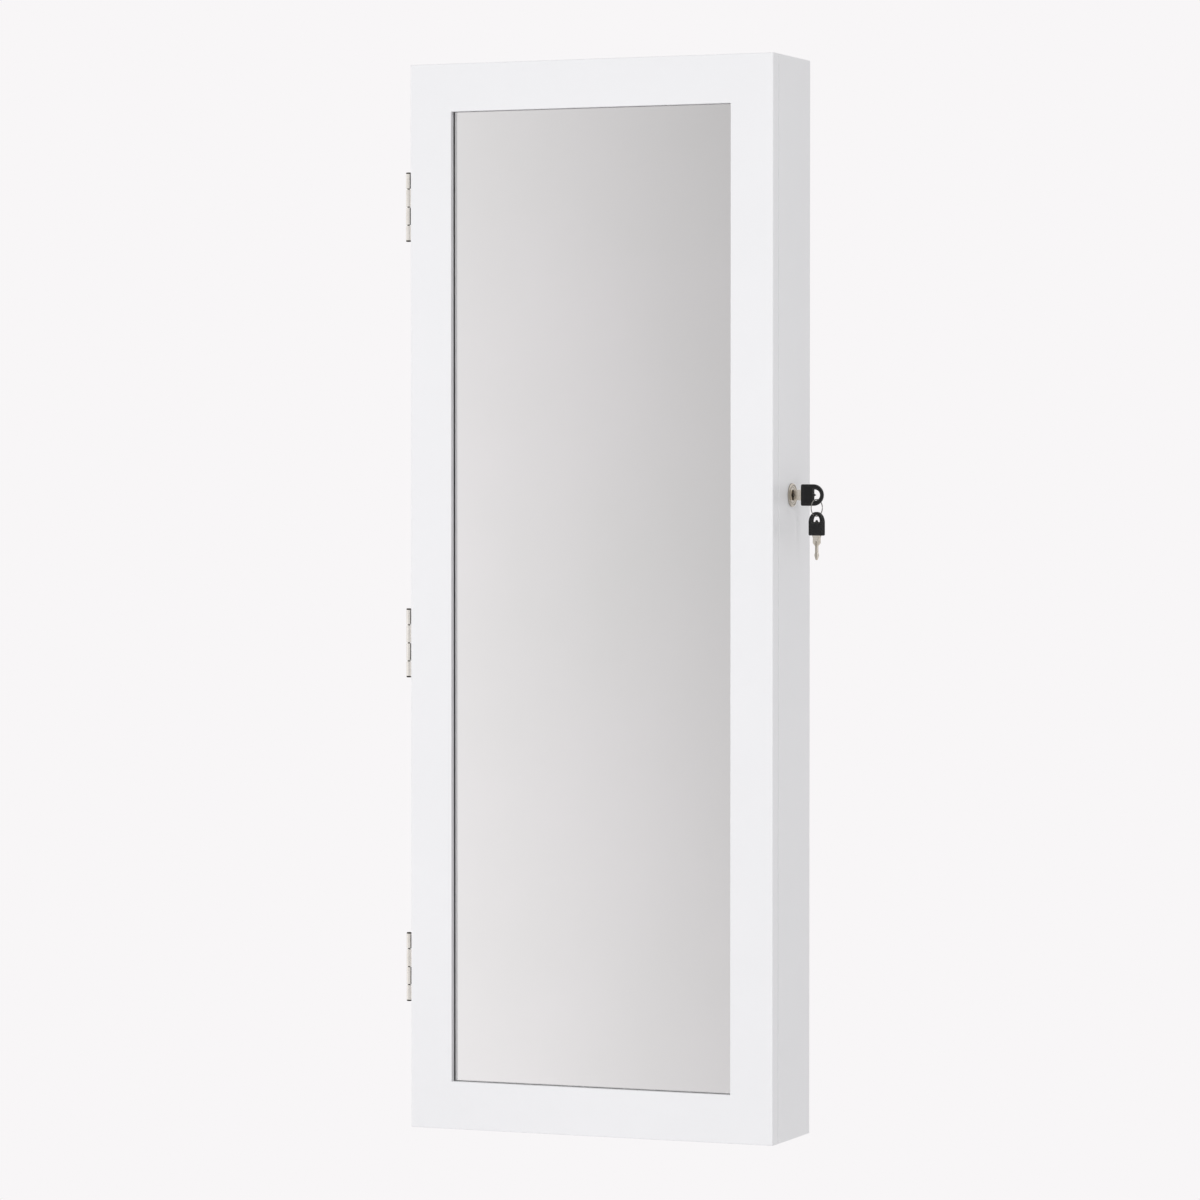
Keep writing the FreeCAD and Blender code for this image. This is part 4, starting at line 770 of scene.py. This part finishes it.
    def floor_paper(self) -> bpy.types.Material:
        """Builds the floor's matt pale paper, which fades out to the eye but not to the light that bounces from it.

        Returns:
            The material.
        """
        made = bpy.data.materials.new("floor_paper_pale")
        tree = cleared_tree(made)
        pale = linear(self.backdrop)
        dimmed = tuple(c * (1 - self.floor_glow) for c in pale[:3]) + (1.0,)
        matt = add_node(tree, "ShaderNodeBsdfDiffuse", values={0: dimmed})
        glow = add_node(tree, "ShaderNodeEmission", values={0: pale, 1: self.floor_glow})
        rays = add_node(tree, "ShaderNodeLightPath").outputs
        paper = add_node(tree, "ShaderNodeAddShader", links={0: matt.outputs[0], 1: glow.outputs[0]})
        clear = add_node(tree, "ShaderNodeBsdfTransparent")
        place = add_node(tree, "ShaderNodeTexCoord").outputs["Object"]
        flat = add_node(tree, "ShaderNodeVectorMath", {"operation": "MULTIPLY"}, {1: (1.0, 1.0, 0.0)}, {0: place})
        away = add_node(tree, "ShaderNodeVectorMath", {"operation": "LENGTH"}, links={0: flat.outputs[0]})
        near, far = (self.floor_radius * share for share in self.floor_fade)
        values = {"From Min": near, "From Max": far}
        settings = {"interpolation_type": "SMOOTHSTEP"}
        rim = add_node(tree, "ShaderNodeMapRange", settings, values, {"Value": away.outputs["Value"]})
        below = add_node(tree, "ShaderNodeNewGeometry").outputs["Backfacing"]
        gone = add_node(tree, "ShaderNodeMath", {"operation": "MAXIMUM"}, links={0: rim.outputs[0], 1: below})
        links = {0: gone.outputs[0], 1: paper.outputs[0], 2: clear.outputs[0]}
        faded = add_node(tree, "ShaderNodeMixShader", links=links)
        plain = add_node(tree, "ShaderNodeBsdfDiffuse", values={0: pale})
        seen = rays["Is Camera Ray"]
        for kind in ("Is Glossy Ray", "Is Transmission Ray"):
            seen = add_node(tree, "ShaderNodeMath", {"operation": "MAXIMUM"}, links={0: seen, 1: rays[kind]}).outputs[0]
        both = add_node(tree, "ShaderNodeMixShader", links={0: seen, 1: plain.outputs[0], 2: faded.outputs[0]})
        add_node(tree, "ShaderNodeOutputMaterial", links={0: both.outputs[0]})
        return made


# ------------------------------------------------------------------------------------------------ the case
@dataclass
class Carcass:
    """The white boards of the case, its back, and what holds them together."""

    boards: tuple[str, ...] = ("case_left_side", "case_right_side", "case_top", "case_bottom")
    rails: tuple[str, ...] = ("hanging_rail_top", "hanging_rail_bottom")

    def dress(self, palette: Palette) -> None:
        """Gives each board and fixing its finish.

        Args:
            palette: the finishes.
        """
        palette.dress(Slot.PAINT, self.boards + self.rails)
        palette.dress(Slot.BACK, ["case_back"])
        palette.dress(Slot.ZINC, ["back_nails"])
        palette.dress(Slot.WOOD, ["case_dowels"])


@dataclass
class ShelfMats:
    """Flocked mats, one on each shelf and one on the bottom. Sizes in millimetres."""

    half_width: float = 181.0
    thick: float = 1.0
    front: float = -58.6
    shelf_rear: float = -5.5
    bottom_rear: float = -16.0
    step: float = 2.5
    edge: float = 0.8  # how far in the cut edge rounds over
    wave: float = 0.18
    wave_mm: tuple[float, float] = (38.0, 24.0)  # size of the waves along and across
    sink: tuple[float, float] = (0.42, 0.3)  # how far the edge's faces close up, as shares of the sheet
    edge_lines: tuple[float, ...] = (0.0, 0.15, 0.45, 1.0)  # grid lines over the edge, as shares of it
    levels: tuple[tuple[str, float], ...] = (
        ("shelf_upper", 440.0), ("shelf_middle", -165.0), ("shelf_lower", -354.0), ("case_bottom", -528.0)
    )

    def build(self, palette: Palette) -> None:
        """Lays a mat on each shelf and on the bottom.

        Args:
            palette: the finishes.
        """
        for carrier, level in self.levels:
            rear = self.bottom_rear if carrier == "case_bottom" else self.shelf_rear
            mat = self.mat(f"mat_on_{carrier}", level, rear)
            mat.data.materials.append(palette.materials[Slot.VELVET])
            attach(mat, Body.CASE.value)
            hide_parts("shelf_mats")

    def mat(self, name: str, level: float, rear: float) -> bpy.types.Object:
        """Makes one mat: a cut sheet with rounded edges that lies a little unevenly.

        Args:
            name: of the piece.
            level: height of the board that it lies on.
            rear: its rear edge.

        Returns:
            The mat.
        """
        columns = self.lines(-self.half_width, self.half_width)
        rows = self.lines(self.front, rear)
        top, bottom = [], []
        for y in rows:
            for x in columns:
                inside = min(x + self.half_width, self.half_width - x, y - self.front, rear - y)
                fall = 1 - math.sqrt(max(0.0, 1 - (1 - min(inside / self.edge, 1.0)) ** 2))
                lie = noise.noise(Vector((x / self.wave_mm[0], y / self.wave_mm[1], level))) * self.wave
                height = self.thick - self.wave + lie - fall * self.thick * self.sink[0]
                top.append(Vector((x, y, level + height)) * MM)
                bottom.append(Vector((x, y, level + fall * self.thick * self.sink[1])) * MM)
        return slab(name, top, bottom, len(columns))

    def lines(self, low: float, high: float) -> list[float]:
        """Works out grid lines from edge to edge, with close ones where the edge rounds over.

        Args:
            low: the first edge.
            high: the last edge.

        Returns:
            The places of the lines.
        """
        inner = [low + self.edge * s for s in self.edge_lines]
        outer = [high - self.edge * s for s in reversed(self.edge_lines)]
        count = max(1, round((outer[0] - inner[-1]) / self.step))
        return inner + [inner[-1] + (outer[0] - inner[-1]) * i / count for i in range(1, count)] + outer


@dataclass
class RingCushion:
    """Foam rolls under one flocked cover that is tucked into a slit between each two. Sizes in millimetres."""

    left: float = -183.5
    right: float = -5.0
    low: float = 235.3
    high: float = 430.5
    back: float = -4.8
    base: float = 10.0  # foam behind the slits
    depth: float = 26.0
    rolls: int = 9
    slit: float = 2.4
    belly: float = 0.7  # how far a roll swells into the slit
    end_round: float = 9.0
    end_share: float = 0.3  # depth left at the very end
    pucker: float = 0.5
    pucker_reach: float = 7.0
    crease: float = 0.3
    crease_size: tuple[float, float, float] = (17.0, 9.0, 11.0)  # along, up and in
    crease_from: float = 6.0  # height over the foam behind the slits at which tucks and creases are full
    side_power: float = 0.85  # below 1, a roll's top and bottom are squarer than a circle's
    crown_power: float = 0.72  # below 1, a roll's crown is fuller than a circle's
    stations: int = 96
    points_per_roll: int = 26

    def build(self, palette: Palette) -> None:
        """Makes the cushion and puts it in its bay.

        Args:
            palette: the finishes.
        """
        cushion = self.cushion()
        cushion.data.materials.append(palette.materials[Slot.VELVET])
        smoothing = cushion.modifiers.new("smoothing", "SUBSURF")
        smoothing.levels = smoothing.render_levels = 1
        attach(cushion, Body.CASE.value)
        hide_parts("ring_cushion")

    def profile(self) -> list[tuple[float, float, float]]:
        """Works out the cover's line over all rolls, from the lowest to the highest.

        Returns:
            (depth from the back, height, height of the point behind it) of each point.
        """
        pitch = (self.high - self.low) / self.rolls
        line = []
        for roll in range(self.rolls):
            bottom = self.low + pitch * roll + (self.slit / 2 if roll else 0.0)
            top = self.low + pitch * (roll + 1) - (self.slit / 2 if roll < self.rolls - 1 else 0.0)
            middle, half = (bottom + top) / 2, (top - bottom) / 2
            for i in range(self.points_per_roll):
                angle = (i / (self.points_per_roll - 1) - 0.5) * math.pi
                across = math.copysign(abs(math.sin(angle)) ** self.side_power, angle)
                rise = max(0.0, math.cos(angle)) ** self.crown_power
                inner_side = (roll and angle < 0) or (roll < self.rolls - 1 and angle > 0)
                swell = self.belly * math.sin(math.pi * min(1.0, rise)) if inner_side else 0.0
                behind = middle + across * half
                deep = self.base + (self.depth - self.base) * rise
                line.append((deep, behind + math.copysign(swell, angle), behind))
        return line

    def cushion(self) -> bpy.types.Object:
        """Lofts the line from end to end, rounded and puckered at the ends, over a flat back.

        Returns:
            The cushion.
        """
        line = self.profile()
        along, up, inward = self.crease_size
        cover, behind = [], []
        for s in range(self.stations):
            share = s / (self.stations - 1)
            eased = 0.5 - 0.5 * math.cos(math.pi * share)  # closer stations at the ends
            x = self.left + (self.right - self.left) * (share + eased) / 2
            inside = min(x - self.left, self.right - x)
            full = math.sqrt(max(0.0, 1 - (1 - min(inside / self.end_round, 1.0)) ** 2))
            keep = self.end_share + (1 - self.end_share) * full
            for n, (depth, height, height_behind) in enumerate(line):
                gather = math.sin(n * 1.9 + 0.6 * math.sin(n * 0.7))  # folds at uneven distances
                tuck = self.pucker * math.exp(-inside / self.pucker_reach) * gather
                soft = noise.noise(Vector((x / along, height / up, depth / inward))) * self.crease
                lift = depth * keep + (tuck + soft) * smooth_step((depth - self.base) / self.crease_from)
                cover.append(Vector((x, self.back - lift, height)) * MM)
                behind.append(Vector((x, self.back, height_behind)) * MM)
        return slab("ring_cushion_pad", cover, behind, len(line))


@dataclass
class CaseFittings:
    """Shelves, displays and the lining inside the case."""

    boards: tuple[str, ...] = (
        "shelf_upper", "shelf_middle", "shelf_lower", "display_ledge", "display_divider", "earring_panel",
        "earring_panel_posts", "necklace_rail",
    )

    def dress(self, palette: Palette) -> None:
        """Gives the fittings their finishes.

        Args:
            palette: the finishes.
        """
        palette.dress(Slot.PAINT, self.boards)
        palette.dress(Slot.VELVET, ["back_lining", "shelf_mats", "ring_cushion"])
        palette.dress(Slot.ROD, ["guard_rods", "necklace_hooks"])


# ------------------------------------------------------------------------------------------------ the door
@dataclass
class Mirror:
    """Clear glass with the silver film on its rear face. Sizes in millimetres."""

    half_width: float = 157.9
    half_height: float = 498.4
    rear_face: float = -99.0
    film_gap: float = 0.02  # the film lies just inside the rear face, so that no light gets between the two

    def build(self, palette: Palette) -> None:
        """Lays the film and makes the glass clear.

        Args:
            palette: the finishes.
        """
        y = self.rear_face - self.film_gap
        corners = [(-1, -1), (1, -1), (1, 1), (-1, 1)]
        points = [Vector((i * self.half_width, y, j * self.half_height)) * MM for i, j in corners]
        points += [p + Vector((0.0, self.film_gap / 2 * MM, 0.0)) for p in points]
        faces = [[0, 1, 2, 3], [7, 6, 5, 4]] + [[i, i + 4, (i + 1) % 4 + 4, (i + 1) % 4] for i in range(4)]
        film = mesh_object("mirror_silver_film", points, faces)
        film.data.polygons.foreach_set("use_smooth", [False] * len(faces))
        film.data.materials.append(palette.silver)
        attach(film, Body.DOOR.value)
        palette.dress(Slot.GLASS, ["mirror_glass"])
        palette.dress(Slot.CARD, ["mirror_backing"])


@dataclass
class Door:
    """The painted frame, its inner panel, and what hangs on it."""

    frame_boards: tuple[str, ...] = ("door_left_stile", "door_right_stile", "door_top_rail", "door_bottom_rail")
    inside: tuple[str, ...] = ("door_inner_panel", "door_hook_rail", "earring_slats", "slat_blocks")

    def dress(self, palette: Palette) -> None:
        """Gives the door's parts their finishes.

        Args:
            palette: the finishes.
        """
        palette.dress(Slot.PAINT, self.frame_boards + self.inside)
        palette.dress(Slot.WOOD, ["door_frame_dowels"])
        palette.dress(Slot.ZINC, ["door_panel_screws"])
        palette.dress(Slot.ROD, ["door_hooks"])
        palette.dress(Slot.BUMPER, ["door_bumpers"])


@dataclass
class Hinges:
    """Three rolled butt hinges with their pins and screws."""

    places: tuple[str, ...] = ("top", "middle", "bottom")

    def dress(self, palette: Palette) -> None:
        """Gives leaves, pins and screws their finishes.

        Args:
            palette: the finishes.
        """
        leaves = [f"hinge_{place}_{side}_leaf" for place in self.places for side in ("case", "door")]
        palette.dress(Slot.HINGE_NICKEL, leaves)
        palette.dress(Slot.PIN, ["hinge_pins"])
        palette.dress(Slot.ZINC, ["case_hinge_screws", "door_hinge_screws"])


@dataclass
class CamLock:
    """The lock in the right side, with the striker on the door."""

    nickel: tuple[str, ...] = ("lock_housing", "lock_nut", "lock_plug", "lock_cam")
    zinc: tuple[str, ...] = ("cam_screw", "lock_striker", "striker_and_catch_screws")

    def dress(self, palette: Palette) -> None:
        """Gives the lock's parts their finishes."""
        palette.dress(Slot.LOCK_NICKEL, self.nickel)
        palette.dress(Slot.ZINC, self.zinc)


@dataclass
class MagneticCatch:
    """The catch that keeps the door shut, and its plate."""

    def dress(self, palette: Palette) -> None:
        """Gives the catch's parts their finishes.

        Args:
            palette: the finishes.
        """
        palette.dress(Slot.CATCH_PLASTIC, ["catch_body"])
        palette.dress(Slot.MAGNET, ["catch_magnet"])
        palette.dress(Slot.ZINC, ["catch_plate"])


@dataclass
class Keys:
    """The key in the lock, the spare key, and the wire ring between them."""

    heads: tuple[str, ...] = ("key_head", "spare_key_head")
    blades: tuple[str, ...] = ("key_blade", "spare_key_blade")

    def dress(self, palette: Palette) -> None:
        """Gives heads, blades and ring their finishes.

        Args:
            palette: the finishes.
        """
        palette.dress(Slot.KEY_PLASTIC, self.heads)
        palette.dress(Slot.KEY_BLADE, self.blades)
        palette.dress(Slot.RING_WIRE, ["key_ring"])


def main() -> None:
    """Builds the studio and every sub-assembly in order."""
    logging.basicConfig(level=logging.INFO, format="%(name)s: %(message)s")
    ViewPoint().build()
    Studio().build()
    palette = Palette()
    for part in (Carcass(), CaseFittings(), Door(), Hinges(), CamLock(), MagneticCatch(), Keys()):
        part.dress(palette)
        LOG.info("%s dressed", type(part).__name__)
    for part in (Mirror(), ShelfMats(), RingCushion()):
        part.build(palette)
        LOG.info("%s built", type(part).__name__)


if __name__ == "__main__":
    main()
